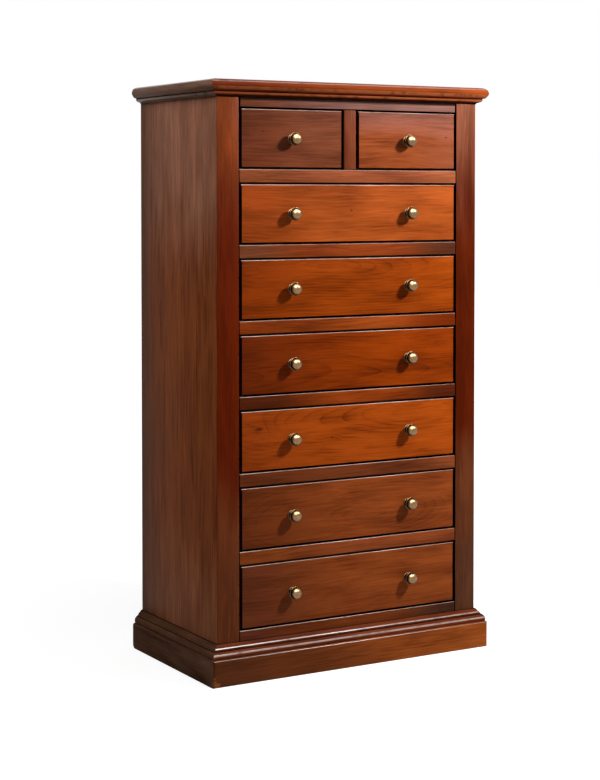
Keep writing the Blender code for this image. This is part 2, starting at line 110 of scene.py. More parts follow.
def stained_cherry(name, stain, grain="X", heart=(0, 0, 0), reach=14, ring=7, ring_tone=0.3,
                   streak=0.55, cloud=1.0, knots=(), chips=(), shades=(), staves=None, seed=0.0,
                   shine=0.03):
    """Cherry under a brown-red stain and a satin lacquer. The eye sees soft streaks along the
    grain, cloudy patches where the stain took unevenly, and the arches of the growth rings.

    heart is where the middle of the rings' figure lies on the face, ring their spacing in
    millimetres and reach how many times longer than wide the figure is. Each of shades is a
    second stain that grows from nothing at one place along the board, or along an axis that is
    named, to full at another."""
    material, tree, shader, place = new_finish(name)
    turn = GRAIN_TURNS[grain]
    parts = add_node(tree, "SeparateXYZ", {0: place}).outputs
    along = parts["XYZ".index(grain)]
    straight = add_node(tree, "Mapping", {"Vector": place, "Rotation": turn}).outputs[0]

    # Glued staves each have a grain and a tone of their own
    tone = 0.5
    if staves:
        across = parts["XYZ".index(staves)]
        count = add_node(tree, "Math", {0: across, 1: STAVE_WIDTH}, operation='DIVIDE').outputs[0]
        stave = add_node(tree, "Math", {0: count}, operation='FLOOR').outputs[0]
        chance = add_node(tree, "TexWhiteNoise", {"W": stave}, noise_dimensions='1D').outputs[0]
        tone = add_node(tree, "Math", {0: chance, 1: 0.26, 2: 0.37},
                        operation='MULTIPLY_ADD').outputs[0]
        jump = add_node(tree, "CombineXYZ", {0: stave}).outputs[0]
        straight = add_node(tree, "VectorMath", {0: straight, 1: jump}, operation='ADD').outputs[0]

    # The grain wanders a few millimetres from a straight line
    drift = stretched_noise(tree, straight, (2.6, 9, 9), 1.5, (seed, 0, seed))["Color"]
    drift = add_node(tree, "VectorMath", {0: drift, 1: (0.5, 0.5, 0.5)},
                     operation='SUBTRACT').outputs[0]
    wander = add_node(tree, "VectorMath", {0: drift, 1: (0, 0.030, 0.030), 2: straight},
                      operation='MULTIPLY_ADD').outputs[0]

    # Growth rings round a pith line that leaves the face at a low angle
    turned_heart = Euler(turn).to_matrix() @ Vector(heart)
    from_heart = add_node(tree, "VectorMath", {0: wander, 1: turned_heart},
                          operation='SUBTRACT').outputs[0]
    lean = (0, 1 / reach, 0) if grain == "Z" else (0, 0, 1 / reach)
    pith = add_node(tree, "Mapping", {"Vector": from_heart, "Rotation": lean}).outputs[0]
    phase = seed
    spots = []
    marks = [(knot, KNOT_BROWN) for knot in knots] + [(chip, CHIPPED_WOOD) for chip in chips]
    for (x, z, size), code in marks:
        spot = Euler(turn).to_matrix() @ Vector((x, heart[1], z))
        away = add_node(tree, "VectorMath", {0: straight, 1: spot}, operation='SUBTRACT').outputs[0]
        away = add_node(tree, "VectorMath", {0: away, 1: (0.45 / size, 1 / size, 1 / size)},
                        operation='MULTIPLY').outputs[0]
        distance = add_node(tree, "VectorMath", {0: away}, operation='LENGTH').outputs["Value"]
        bulge = add_node(tree, "MapRange", {"Value": distance, "From Min": 1.0, "From Max": 9.0,
                                            "To Min": 5.0, "To Max": 0.0},
                         interpolation_type='SMOOTHSTEP').outputs[0]
        phase = add_node(tree, "Math", {0: bulge, 1: phase}, operation='ADD').outputs[0]
        share = add_node(tree, "MapRange", {"Value": distance, "From Min": 0.4, "From Max": 1.5,
                                            "To Min": 0.75, "To Max": 0.0},
                         interpolation_type='SMOOTHSTEP').outputs[0]
        spots.append((share, code))
    rings = add_node(tree, "TexWave", {"Vector": pith, "Scale": 0.1 * math.pi / (ring / 1000),
                                       "Phase Offset": phase},
                     wave_type='RINGS', rings_direction='X', wave_profile='SAW').outputs[1]
    late_wood = add_node(tree, "Math", {0: rings, 1: 5.0}, operation='POWER').outputs[0]

    # Streaks 6 mm wide, lines of grain 3 mm wide, and clouds 4 cm wide and 17 cm long
    layers = ((streak, (6, 170, 170), 4.0), (0.75, (16, 360, 360), 2.0), (cloud, (6, 26, 26), 1.5))
    for amount, cells, detail in layers:
        noise = stretched_noise(tree, wander, cells, detail, (seed, seed, 0))[0]
        level = add_node(tree, "Math", {0: noise, 1: 0.5}, operation='SUBTRACT').outputs[0]
        tone = add_node(tree, "Math", {0: level, 1: amount, 2: tone}, operation='MULTIPLY_ADD').outputs[0]
    fading = add_node(tree, "MapRange", {"Value": noise, "From Min": 0.62, "From Max": 0.38,
                                         "To Min": -0.1 * ring_tone, "To Max": -ring_tone}).outputs[0]
    tone = add_node(tree, "Math", {0: late_wood, 1: fading, 2: tone}, operation='MULTIPLY_ADD').outputs[0]
    tone = add_node(tree, "Math", {0: tone, 1: ring_tone / 8}, operation='ADD').outputs[0]

    ramp = add_node(tree, "ValToRGB", {0: tone})
    stops = ramp.color_ramp.elements
    stops[0].position, stops[0].color = 0.1, colour(stain, DARK_STREAK)
    stops[1].position, stops[1].color = 0.9, colour(stain, LIGHT_STREAK)
    stops.new(0.5).color = colour(stain)
    tint = ramp.outputs[0]
    for code, none_at, full_at, *axis in shades:
        run = parts["XYZ".index(axis[0])] if axis else along
        blotched = add_node(tree, "Math", {0: level, 1: 0.8 * (full_at - none_at), 2: run},
                            operation='MULTIPLY_ADD').outputs[0]
        share = add_node(tree, "MapRange", {"Value": blotched, "From Min": none_at,
                                            "From Max": full_at},
                         interpolation_type='SMOOTHSTEP').outputs[0]
        streaky = add_node(tree, "MapRange", {"Value": tone, "From Min": 0.3, "From Max": 0.7,
                                              "To Min": 0.75, "To Max": 1.3}).outputs[0]
        second = add_node(tree, "VectorMath", {0: colour(code)[:3], "Scale": streaky},
                          operation='SCALE').outputs[0]
        tint = add_node(tree, "Mix", {0: share, 6: tint, 7: second}, data_type='RGBA').outputs[2]
    for share, code in spots:
        tint = add_node(tree, "Mix", {0: share, 6: tint, 7: colour(code)}, data_type='RGBA').outputs[2]

    # Open pores, about 0.5 mm wide, drawn a little coarser than real so that they show
    pores = stretched_noise(tree, wander, (60, 1300, 1300), 1.0)[0]
    pores = add_node(tree, "MapRange", {"Value": pores, "From Min": 0.60, "From Max": 0.75,
                                        "To Min": 0.0, "To Max": 0.3}).outputs[0]
    tint = add_node(tree, "Mix", {0: pores, 6: tint, 7: colour(stain, DARK_STREAK)},
                    data_type='RGBA').outputs[2]
    sheen = add_node(tree, "MapRange", {"Value": noise, "To Min": 0.30, "To Max": 0.44}).outputs[0]
    dent = add_node(tree, "Bump", {"Height": pores, "Strength": 0.2, "Distance": 0.0002},
                    invert=True).outputs[0]
    set_inputs(tree, shader, {"Base Color": tint, "Roughness": sheen, "Normal": dent,
                              "Specular IOR Level": shine})
    material.diffuse_color = colour(stain)
    return material


def board(name, low, high):
    """A squared board between two opposite corners."""
    low, high = Vector(low), Vector(high)
    bpy.ops.object.select_all(action='DESELECT')
    bpy.ops.mesh.primitive_cube_add(size=1, location=(low + high) / 2, scale=high - low)
    bpy.ops.object.transform_apply(location=True, rotation=True, scale=True)
    piece = bpy.context.object
    piece.name = name
    piece.data.name = name
    return piece


def hold(piece):
    """Selects one piece alone and makes it the active one."""
    bpy.ops.object.select_all(action='DESELECT')
    piece.select_set(True)
    bpy.context.view_layer.objects.active = piece


def cut_out(piece, cutter):
    """Takes the cutter's shape out of a piece and throws the cutter away."""
    modifier = piece.modifiers.new("cut", 'BOOLEAN')
    modifier.operation = 'DIFFERENCE'
    modifier.solver = 'EXACT'
    modifier.object = cutter
    bpy.context.view_layer.objects.active = piece
    bpy.ops.object.modifier_apply(modifier=modifier.name)
    bpy.data.objects.remove(cutter)


def saw(piece, point, waste_side):
    """Saws a piece through at a point and drops the waste, on the side that is named."""
    hold(piece)
    bpy.ops.object.mode_set(mode='EDIT')
    bpy.ops.mesh.select_all(action='SELECT')
    bpy.ops.mesh.bisect(plane_co=point, plane_no=waste_side, use_fill=True, clear_outer=True)
    bpy.ops.object.mode_set(mode='OBJECT')


def soften(piece, radius, segments=2, angle=30):
    """Rounds over every sharp edge of a piece and shades what is round smoothly."""
    modifier = piece.modifiers.new("softened edges", 'BEVEL')
    modifier.width = radius
    modifier.segments = segments
    modifier.limit_method = 'ANGLE'
    modifier.angle_limit = math.radians(angle)
    modifier.use_clamp_overlap = True
    hold(piece)
    bpy.ops.object.modifier_apply(modifier=modifier.name)
    bpy.ops.object.shade_smooth_by_angle(angle=math.radians(angle + 10))


def fit(piece, material, slot, body, *nodes):
    """Gives a finished piece its finish and body, and hides the CAD nodes that it stands for."""
    piece.data.materials.clear()
    piece.data.materials.append(material)
    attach(piece, body)
    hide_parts(*nodes)


side_low, side_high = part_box("left_side")
stile_low, stile_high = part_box("left_stile")
FRONT_Y = stile_low.y
BACK_Y = side_high.y
HALF_WIDTH = -side_low.x
BOARD_THICKNESS = side_high.x - side_low.x
RUNNER_HEIGHT = 0.024
GUIDE_HEIGHT = 0.008
FRAME_NODES = ["top_frame"] + [f"drawer_frame_{number}" for number in range(1, 7)] + ["bottom_frame"]
back_low, back_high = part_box("back_panel")


def runner_floor(node):
    """The height of the underside of a drawer frame's runners."""
    low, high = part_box(node)
    return low.z if node == "top_frame" else high.z - GUIDE_HEIGHT - RUNNER_HEIGHT


for side, hand in (("left", -1), ("right", 1)):
    low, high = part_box(f"{side}_side")
    panel = board(f"{side}_side_panel", (low.x, FRONT_Y, low.z), (high.x, BACK_Y, high.z))
    saw(panel, (hand * HALF_WIDTH, FRONT_Y + MITRE_GAP, 0), (-hand, -1, 0))
    inner = HALF_WIDTH - BOARD_THICKNESS
    for node in FRAME_NODES:
        floor = runner_floor(node)
        edges = sorted((hand * (inner + HOUSING_DEPTH), hand * (inner - OVERRUN)))
        cut_out(panel, board("housing", (edges[0], FRONT_Y, floor),
                             (edges[1], BACK_Y + OVERRUN, floor + RUNNER_HEIGHT)))
    edges = sorted((hand * back_high.x, hand * (inner - OVERRUN)))
    cut_out(panel, board("rebate", (edges[0], back_low.y, -OVERRUN),
                         (edges[1], BACK_Y + OVERRUN, high.z + OVERRUN)))
    soften(panel, SOFT_EDGE)
    finish = stained_cherry(f"stained_cherry_{side}_side", SIDE_STAIN, grain="Z",
                            heart=(hand * HALF_WIDTH, 0.30, 0.5), reach=20, ring=9, ring_tone=0.06,
                            streak=0.75, cloud=0.6, staves="Y", seed=3.1 + hand, shades=SIDE_SHADES,
                            shine=0.005)
    fit(panel, finish, "carcass_wood", "carcass", f"{side}_side")


# Stiles
# Two upright cherry boards at the front corners, mitred to the sides down the whole height
# and stained redder than the sides. Near black is painted on their faces beside the gaps, as painted
# shade.
STILE_EDGE = 0.0020
# A face that turns this far towards a gap gets the painted gap shade
GAP_SHADE_SLOPE = 0.15
STILE_STAINS = {"left": "#601b00", "right": "#541700"}
# The right stile's last shade, pinker towards the top, is a painted reflection of a light above at the
# right
STILE_SHADES = {"left": (("#673319", 0.50, 0.25), ("#80370b", 0.95, 1.25)),
                "right": (("#6a361c", 0.52, 0.40), ("#5a3320", 0.33, 0.20), ("#84472d", 0.95, 1.25))}


def stain_and_painted_light_band(name, stain, film):
    """A band of one tone on stained wood: the stain wiped over the drawer fronts' edges, and also
    painted highlights on edges and beads, painted light on the cornice's lower nose and bead, and
    painted shade in gaps and hollows. The eye sees a line of one tone with a few small breaks in it,
    glossier than the board where there is a film on it."""
    material, tree, shader, place = new_finish(name)
    breaks = add_node(tree, "TexNoise", {"Vector": place, "Scale": 45.0, "Detail": 3.0}).outputs[0]
    ramp = add_node(tree, "ValToRGB", {0: breaks})
    stops = ramp.color_ramp.elements
    stops[0].position, stops[0].color = 0.30, colour(stain, DARK_STREAK)
    stops[1].position, stops[1].color = 0.52, colour(stain)
    rough = add_node(tree, "MapRange", {"Value": breaks, "To Min": 0.22, "To Max": 0.38}).outputs[0]
    set_inputs(tree, shader, {"Base Color": ramp.outputs[0], "Roughness": rough,
                              "Specular IOR Level": 0.5 * film, "Coat Weight": film,
                              "Coat Roughness": 0.25})
    material.diffuse_color = colour(stain)
    return material


def mark_faces(piece, material, test):
    """Gives a second finish to the faces of a piece that pass a test of normal and centre."""
    piece.data.materials.append(material)
    for face in piece.data.polygons:
        if test(face.normal, face.center):
            face.material_index = len(piece.data.materials) - 1


# Near black painted on faces that lie in gaps, recesses and under parts: painted shade
painted_gap_shade = stain_and_painted_light_band("painted_shade_in_gaps", "#150a06", 0.0)
for side, hand in (("left", -1), ("right", 1)):
    low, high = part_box(f"{side}_stile")
    stile = board(f"{side}_corner_stile", (low.x, FRONT_Y, low.z), (high.x, high.y, high.z))
    saw(stile, (hand * HALF_WIDTH, FRONT_Y - MITRE_GAP, 0), (hand, 1, 0))
    soften(stile, STILE_EDGE, segments=3)
    finish = stained_cherry(f"stained_cherry_{side}_stile", STILE_STAINS[side], grain="Z",
                            heart=(hand * 0.5, FRONT_Y, 0.9), reach=16, ring=6, ring_tone=0.15,
                            streak=0.4, cloud=0.65, seed=1.7 + hand, shades=STILE_SHADES[side])
    fit(stile, finish, "carcass_wood", "carcass", f"{side}_stile")
    mark_faces(stile, painted_gap_shade, lambda normal, centre: normal.x * hand < -GAP_SHADE_SLOPE)


# Rails and drawer frames
# Behind every cherry rail of the face frame lies a frame of plain poplar: two runners housed
# in the sides, a back rail, guides beside the drawer and two stops behind its front.
RAIL_DEPTH = 0.045
RAIL_EDGE = 0.0025
RAIL_END_GAP = 0.0008
TOP_RAIL_END_GAP = 0.003
RUNNER_REACH = 0.024
BACK_RAIL_DEPTH = 0.040
GUIDE_CLEARANCE = 0.0038
STOP_LENGTH = 0.040
STOP_DEPTH = 0.012
STOP_SPREAD_SHARE = 0.32
JOINT_GAP = 0.0003
RAW_EDGE = 0.0006
# How far the faces turn that look forwards, that carry the painted highlight, that carry the painted gap
# shade or end the rail
FRONT_SLOPE = -0.3
RAIL_HIGHLIGHT_SLOPE = 0.50
RAIL_GAP_SHADE_SLOPES = (-0.35, 0.95)
RAIL_END_SLOPE = 0.5
RAIL_STAINS = {"top_frame": "#885d52", "drawer_frame_1": "#924b2c", "drawer_frame_2": "#893b15",
               "drawer_frame_3": "#934012", "drawer_frame_4": "#8d3a0c", "drawer_frame_5": "#6d3317",
               "drawer_frame_6": "#833e1c", "bottom_frame": "#6d3212"}
# The top rail's last shade, near black along its top edge just under the cornice, is a painted shadow of
# the cornice
RAIL_SHADES = {"top_frame": (("#7b4128", 0.0, -0.28), ("#1c0d07", 1.2550, 1.2590, "Z")),
               "drawer_frame_1": (("#924c2a", -0.05, -0.26), ("#a35937", 0.08, 0.24)),
               "drawer_frame_2": (("#7d4429", -0.1, -0.26), ("#4e2715", 0.1, 0.26)),
               "drawer_frame_3": (("#89380e", -0.1, -0.26), ("#6c2502", 0.1, 0.26)),
               "drawer_frame_4": (("#4f1f08", -0.02, -0.22), ("#4d1d06", 0.08, 0.26)),
               "drawer_frame_5": (("#642f14", 0.0, -0.26), ("#824020", 0.08, 0.24)),
               "drawer_frame_6": (("#843f18", 0.0, -0.26),),
               "bottom_frame": (("#5e2d1a", -0.1, -0.26), ("#412415", 0.1, 0.26))}


def sawn_poplar(name, dark, light, grain):
    """Planed poplar left without a finish. The eye sees a pale, matt wood with faint
    brown streaks along the grain."""
    material, tree, shader, place = new_finish(name)
    straight = add_node(tree, "Mapping", {"Vector": place, "Rotation": GRAIN_TURNS[grain]}).outputs[0]
    streaks = stretched_noise(tree, straight, (4, 60, 60), 4.0)[0]
    fibres = stretched_noise(tree, straight, (30, 800, 800), 1.0)[0]
    tone = add_node(tree, "Math", {0: fibres, 1: 0.35, 2: streaks}, operation='MULTIPLY_ADD').outputs[0]
    ramp = add_node(tree, "ValToRGB", {0: tone})
    stops = ramp.color_ramp.elements
    stops[0].position, stops[0].color = 0.4, colour(dark)
    stops[1].position, stops[1].color = 0.9, colour(light)
    dent = add_node(tree, "Bump", {"Height": fibres, "Strength": 0.2, "Distance": 0.0003}).outputs[0]
    set_inputs(tree, shader, {"Base Color": ramp.outputs[0], "Normal": dent, "Roughness": 0.7})
    material.diffuse_color = colour(light)
    return material


def raw_part(name, low, high, material, slot, body, node):
    """A squared part left without a finish, its edges just broken, fitted to its body."""
    part = board(name, low, high)
    soften(part, RAW_EDGE)
    fit(part, material, slot, body, node)


# A pale tone painted on the upper front edges: a painted highlight
painted_edge_highlight = stain_and_painted_light_band("lacquer_rubbed_edge", "#aa8979", 0.5)
poplar_across = sawn_poplar("sawn_poplar_across", "#7d5733", "#c29a66", "X")
poplar_along = sawn_poplar("sawn_poplar_along", "#7d5733", "#c29a66", "Y")
muntin_low, muntin_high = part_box("centre_muntin")
half_opening = -stile_high.x
muntin_x = (muntin_low.x + muntin_high.x) / 2
half_muntin = (muntin_high.x - muntin_low.x) / 2
small_openings = ((-half_opening, muntin_low.x), (muntin_high.x, half_opening))
for number, node in enumerate(FRAME_NODES):
    low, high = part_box(node)
    floor = runner_floor(node)
    on_top = node == "top_frame"
    rail_top = high.z if on_top else high.z - GUIDE_HEIGHT
    half_rail = half_opening - (TOP_RAIL_END_GAP if on_top else RAIL_END_GAP)
    rail_back = FRONT_Y + RAIL_DEPTH
    rail = board(f"rail_{number}", (-half_rail, FRONT_Y, low.z), (half_rail, rail_back, rail_top))
    soften(rail, RAIL_EDGE, segments=3)
    finish = stained_cherry(f"stained_cherry_{node}", RAIL_STAINS[node],
                            heart=(0.2 - 0.1 * number, FRONT_Y, rail_top), reach=22, ring=6,
                            ring_tone=0.2, streak=0.7, cloud=1.0, seed=0.37 * number,
                            shades=RAIL_SHADES[node])
    fit(rail, finish, "carcass_wood", "carcass", node)
    # A painted highlight on the rail's upper front edge; painted shade on its top, its underside and its
    # ends, which lie in the gaps
    mark_faces(rail, painted_edge_highlight, lambda normal, centre:
               normal.y < FRONT_SLOPE and normal.z > RAIL_HIGHLIGHT_SLOPE)
    mark_faces(rail, painted_gap_shade, lambda normal, centre: normal.z > RAIL_GAP_SHADE_SLOPES[1] or
               normal.z < RAIL_GAP_SHADE_SLOPES[0] or abs(normal.x) > RAIL_END_SLOPE)

    reach = high.x
    ends = [(-reach, -half_opening + RUNNER_REACH), (half_opening - RUNNER_REACH, reach)]
    runners = list(ends)
    two_small = node in ("top_frame", "drawer_frame_1")
    if two_small:
        middle_reach = half_muntin + RUNNER_REACH
        runners.append((muntin_x - middle_reach, muntin_x + middle_reach))
    back_start = high.y - BACK_RAIL_DEPTH
    for part, (left, right) in enumerate(runners, start=1):
        raw_part(f"runner_{number}_{part}", (left, rail_back + JOINT_GAP, floor),
                 (right, back_start - JOINT_GAP, floor + RUNNER_HEIGHT),
                 poplar_along, "carcass_wood", "carcass", node)
    shoulders = zip(ends, (-half_opening, half_opening))
    for part, ((left, right), jamb) in enumerate(shoulders, start=1):
        outer = sorted((jamb, left if jamb < 0 else right))
        raw_part(f"rail_horn_{number}_{part}", (outer[0], stile_high.y + JOINT_GAP, floor),
                 (outer[1], rail_back, floor + RUNNER_HEIGHT),
                 poplar_across, "carcass_wood", "carcass", node)
    raw_part(f"back_rail_{number}", (-reach, back_start, floor),
             (reach, high.y, floor + RUNNER_HEIGHT), poplar_across, "carcass_wood", "carcass", node)
    if on_top:
        continue
    openings = small_openings if two_small else ((-half_opening, half_opening),)
    inner_side = HALF_WIDTH - BOARD_THICKNESS - JOINT_GAP
    guide_start = half_opening - GUIDE_CLEARANCE
    guides = [(-inner_side, -guide_start), (guide_start, inner_side)]
    if two_small:
        guides.append((muntin_low.x - GUIDE_CLEARANCE, muntin_high.x + GUIDE_CLEARANCE))
    for part, (left, right) in enumerate(guides, start=1):
        raw_part(f"guide_{number}_{part}", (left, rail_back, rail_top),
                 (right, back_start, high.z), poplar_along, "carcass_wood", "carcass", node)
    stop_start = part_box("drawer_2_front")[1].y + JOINT_GAP
    for part, (left, right) in enumerate(openings):
        spread = STOP_SPREAD_SHARE * (right - left)
        for place, step in enumerate((-1, 1), start=1):
            at = (left + right) / 2 + step * spread
            raw_part(f"stop_{number}_{2 * part + place}",
                     (at - STOP_LENGTH / 2, stop_start, rail_top),
                     (at + STOP_LENGTH / 2, stop_start + STOP_DEPTH, high.z),
                     poplar_across, "carcass_wood", "carcass", node)


# Muntin
# A short upright of cherry between the two small drawers, let in between the top rail and
# the rail below.
EDGE_TILT = 0.1
muntin = board("muntin", muntin_low, muntin_high)
soften(muntin, RAIL_EDGE, segments=3)
finish = stained_cherry("stained_cherry_muntin", "#74371e", grain="Z",
                        heart=(0.3, FRONT_Y, 1.2), reach=16, ring=5, ring_tone=0.15, seed=5.3)
fit(muntin, finish, "carcass_wood", "carcass", "centre_muntin")
# Painted shade on its edges, which lie in the gaps
mark_faces(muntin, painted_gap_shade, lambda normal, centre: abs(normal.y) < EDGE_TILT)


# Top and back
# The top is one cherry board that closes the carcass inside the cornice. The back is a thin
# sheet of brown hardboard, pinned into the rebates of the sides.
TOP_EDGE = 0.0006
PIN_SPACING = 0.11
PIN_RADIUS = 0.0016
PIN_INSET = 0.005
PIN_SUNK = 0.0003
PIN_FACETS = 12
top_low, top_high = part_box("top_board")
top_board = board("top", top_low, top_high)
soften(top_board, TOP_EDGE)
finish = stained_cherry("stained_cherry_top", "#8a431c",
                        heart=(0.1, 0.02, top_high.z + 0.04), reach=18, ring=8, seed=7.7, cloud=1.0)
fit(top_board, finish, "carcass_wood", "carcass", "top_board")


def pressed_board(name, dark, light):
    """Pressed hardboard. The eye sees a flat brown sheet with short fibres that run all ways
    and soft cloudy patches."""
    material, tree, shader, place = new_finish(name)
    clouds = add_node(tree, "TexNoise", {"Vector": place, "Scale": 9.0, "Detail": 3.0}).outputs[0]
    fibres = add_node(tree, "TexNoise", {"Vector": place, "Scale": 420.0, "Detail": 3.0,
                                         "Distortion": 2.5}).outputs[0]
    tone = add_node(tree, "Math", {0: fibres, 1: 0.8, 2: clouds}, operation='MULTIPLY_ADD').outputs[0]
    ramp = add_node(tree, "ValToRGB", {0: tone})
    stops = ramp.color_ramp.elements
    stops[0].position, stops[0].color = 0.6, colour(dark)
    stops[1].position, stops[1].color = 1.0, colour(light)
    dent = add_node(tree, "Bump", {"Height": fibres, "Strength": 0.3, "Distance": 0.0003}).outputs[0]
    set_inputs(tree, shader, {"Base Color": ramp.outputs[0], "Normal": dent, "Roughness": 0.75})
    material.diffuse_color = colour(light)
    return material


def bright_steel(name):
    """Plain wire steel, a little dull. The eye sees small grey dots with a soft shine."""
    material, tree, shader, place = new_finish(name)
    spots = add_node(tree, "TexNoise", {"Vector": place, "Scale": 900.0, "Detail": 2.0}).outputs[0]
    rough = add_node(tree, "MapRange", {"Value": spots, "To Min": 0.25, "To Max": 0.5}).outputs[0]
    tint = add_node(tree, "Mix", {0: spots, 6: colour("#6f6a63"), 7: colour("#a39d94")},
                    data_type='RGBA').outputs[2]
    set_inputs(tree, shader, {"Base Color": tint, "Roughness": rough, "Metallic": 1.0})
    return material


back_board = pressed_board("pressed_hardboard_back", "#4a2d18", "#7d5430")
steel = bright_steel("wire_steel")
raw_part("back", back_low, (back_high.x, back_high.y - PIN_SUNK, back_high.z),
         back_board, "panel_board", "carcass", "back_panel")
bpy.ops.object.select_all(action='DESELECT')
bpy.ops.mesh.primitive_cylinder_add(vertices=PIN_FACETS, radius=PIN_RADIUS, depth=PIN_SUNK,
                                    location=(0, back_high.y - PIN_SUNK / 2, 0),
                                    rotation=(math.pi / 2, 0, 0))
bpy.ops.object.transform_apply(location=True, rotation=True, scale=True)
pin = bpy.context.object
soften(pin, PIN_SUNK / 3)
pin_count = round((back_high.z - back_low.z) / PIN_SPACING)
pin_places = []
for step in range(pin_count):
    height = back_low.z + (step + 0.5) * (back_high.z - back_low.z) / pin_count
    pin_places += [(hand * (back_high.x - PIN_INSET), height) for hand in (-1, 1)]


def set_copy(pattern, name, place):
    """Sets a copy of a pattern, with its own mesh, at a place."""
    copy = pattern.copy()
    copy.data = pattern.data.copy()
    copy.name = name
    copy.data.transform(Matrix.Translation(place))
    bpy.context.scene.collection.objects.link(copy)
    return copy


for number, (x, z) in enumerate(pin_places, start=1):
    fit(set_copy(pin, f"back_pin_{number}", (x, 0, z)), steel, "panel_board", "carcass")
bpy.data.objects.remove(pin)


# Cornice
# A cherry moulding on three sides, mitred at the front corners and glued and pinned round
# the top. From the top down: a bullnose with a painted highlight along its top, a recess painted
# near black as painted shade, a low bead painted lighter as painted light, and a short cove
# painted dark as painted shade, with a near-black skirt at its foot.
CORNICE_PROJECTION = 0.0225
MOULDING_EDGE = 0.0003
MOULDING_EDGE_ANGLE = 38
WELD = 0.00001
# Heights over the foot of the cornice between which its parts lie. The lower nose and the bead
# are painted lighter, as painted light; the recess and the skirts along the foot are painted near
# black, as painted shade
NOSE_UNDERSIDE = (0.0160, 0.0220)
RECESS = (0.0113, 0.0129)
BEAD = (0.0052, 0.0098)
SKIRTS = {"front": 0.002, "left": 0.001, "right": 0.001}
# How far the faces with the painted highlight look upwards, from upright (0) to level (1)
CORNICE_HIGHLIGHT_SLOPES = {"front": (0.62, 0.86), "left": (0.70, 0.90), "right": (0.70, 0.90)}
COVE_SLOPE = -0.5
END_SLOPE = 0.9
CORNICE_STAINS = {"front": "#86380f", "left": "#7c5b4a", "right": "#84441f"}
CORNICE_SHADES = {"front": (("#762c0c", 0.1, -0.3),), "left": (), "right": ()}
MOULDING_TURNS = {"front": -math.pi / 2, "left": math.pi, "right": 0}
MOULDING_CORNERS = {"front": (0, FRONT_Y), "left": (-HALF_WIDTH, 0), "right": (HALF_WIDTH, 0)}


def arc(centre, radius, start, end, steps=6):
    """Points of a round in a moulding's section, as (distance out, height); angles in degrees."""
    angles = [math.radians(start + (end - start) * step / steps) for step in range(steps + 1)]
    return [(centre[0] + radius * math.cos(a), centre[1] + radius * math.sin(a)) for a in angles]


def drawn_line(name, points, dimensions):
    """A line drawn through flat points, still a curve."""
    curve = bpy.data.curves.new(name, 'CURVE')
    curve.dimensions = dimensions
    line = curve.splines.new('POLY')
    line.points.add(len(points) - 1)
    for point, place in zip(line.points, points):
        point.co = (*place, 0, 1)
    piece = bpy.data.objects.new(name, curve)
    bpy.context.scene.collection.objects.link(piece)
    return piece


def weld_shut():
    """Merges the doubled points of the mesh in hand and turns its faces outwards."""
    bpy.ops.mesh.select_all(action='SELECT')
    bpy.ops.mesh.remove_doubles(threshold=WELD)
    bpy.ops.mesh.normals_make_consistent(inside=False)
    bpy.ops.object.mode_set(mode='OBJECT')


def moulding(name, length, section, overhang):
    """One length of moulding: its section drawn out and sawn to the mitres and the back."""
    piece = drawn_line(name, section, '2D')
    piece.data.fill_mode = 'BOTH'
    piece.data.extrude = HALF_WIDTH + 2 * overhang
    piece.data.splines[0].use_cyclic_u = True
    piece.location = (*MOULDING_CORNERS[length], 0)
    piece.rotation_euler = (math.pi / 2, 0, MOULDING_TURNS[length])
    hold(piece)
    bpy.ops.object.convert(target='MESH')
    bpy.ops.object.transform_apply(location=True, rotation=True, scale=True)
    bpy.ops.object.mode_set(mode='EDIT')
    weld_shut()
    gap = MITRE_GAP / 2
    if length == "front":
        saw(piece, (-HALF_WIDTH + gap, FRONT_Y, 0), (-1, 1, 0))
        saw(piece, (HALF_WIDTH - gap, FRONT_Y, 0), (1, 1, 0))
    else:
        hand = -1 if length == "left" else 1
        saw(piece, (hand * HALF_WIDTH, FRONT_Y + gap, 0), (-hand, -1, 0))
        saw(piece, (0, BACK_Y, 0), (0, 1, 0))
    soften(piece, MOULDING_EDGE, angle=MOULDING_EDGE_ANGLE)
    return piece


cornice_low, cornice_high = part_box("cornice_moulding")
top_z = cornice_high.z
base_z = cornice_low.z
section = [(JOINT_GAP, base_z), (JOINT_GAP, top_z)]
section += [(out / 1000, base_z + up / 1000) for out, up in (
    (6.0, 38.0), (10.5, 37.6), (14.5, 36.6), (17.8, 34.8), (20.3, 32.1), (21.9, 28.8), (22.5, 25.2),
    (22.2, 22.4), (21.4, 20.2), (20.0, 18.0), (18.6, 16.0), (17.2, 14.4), (16.0, 13.4), (12.8, 12.7),
    (11.7, 12.2), (11.6, 11.5), (11.8, 10.9), (11.9, 10.0), (11.8, 9.0), (11.5, 8.0), (10.9, 7.0),
    (10.0, 6.1), (8.7, 5.3), (7.0, 4.6), (5.2, 4.0), (3.4, 3.4), (1.9, 2.9), (1.1, 2.2), (0.8, 0.4))]


def runs_along(length, normal):
    """True for a face that runs along a length of moulding, false for its sawn end."""
    return abs(normal.x if length == "front" else normal.y) < END_SLOPE


def within(height, foot, limits):
    """Tells whether a height lies between two limits over a foot."""
    return foot + limits[0] < height < foot + limits[1]


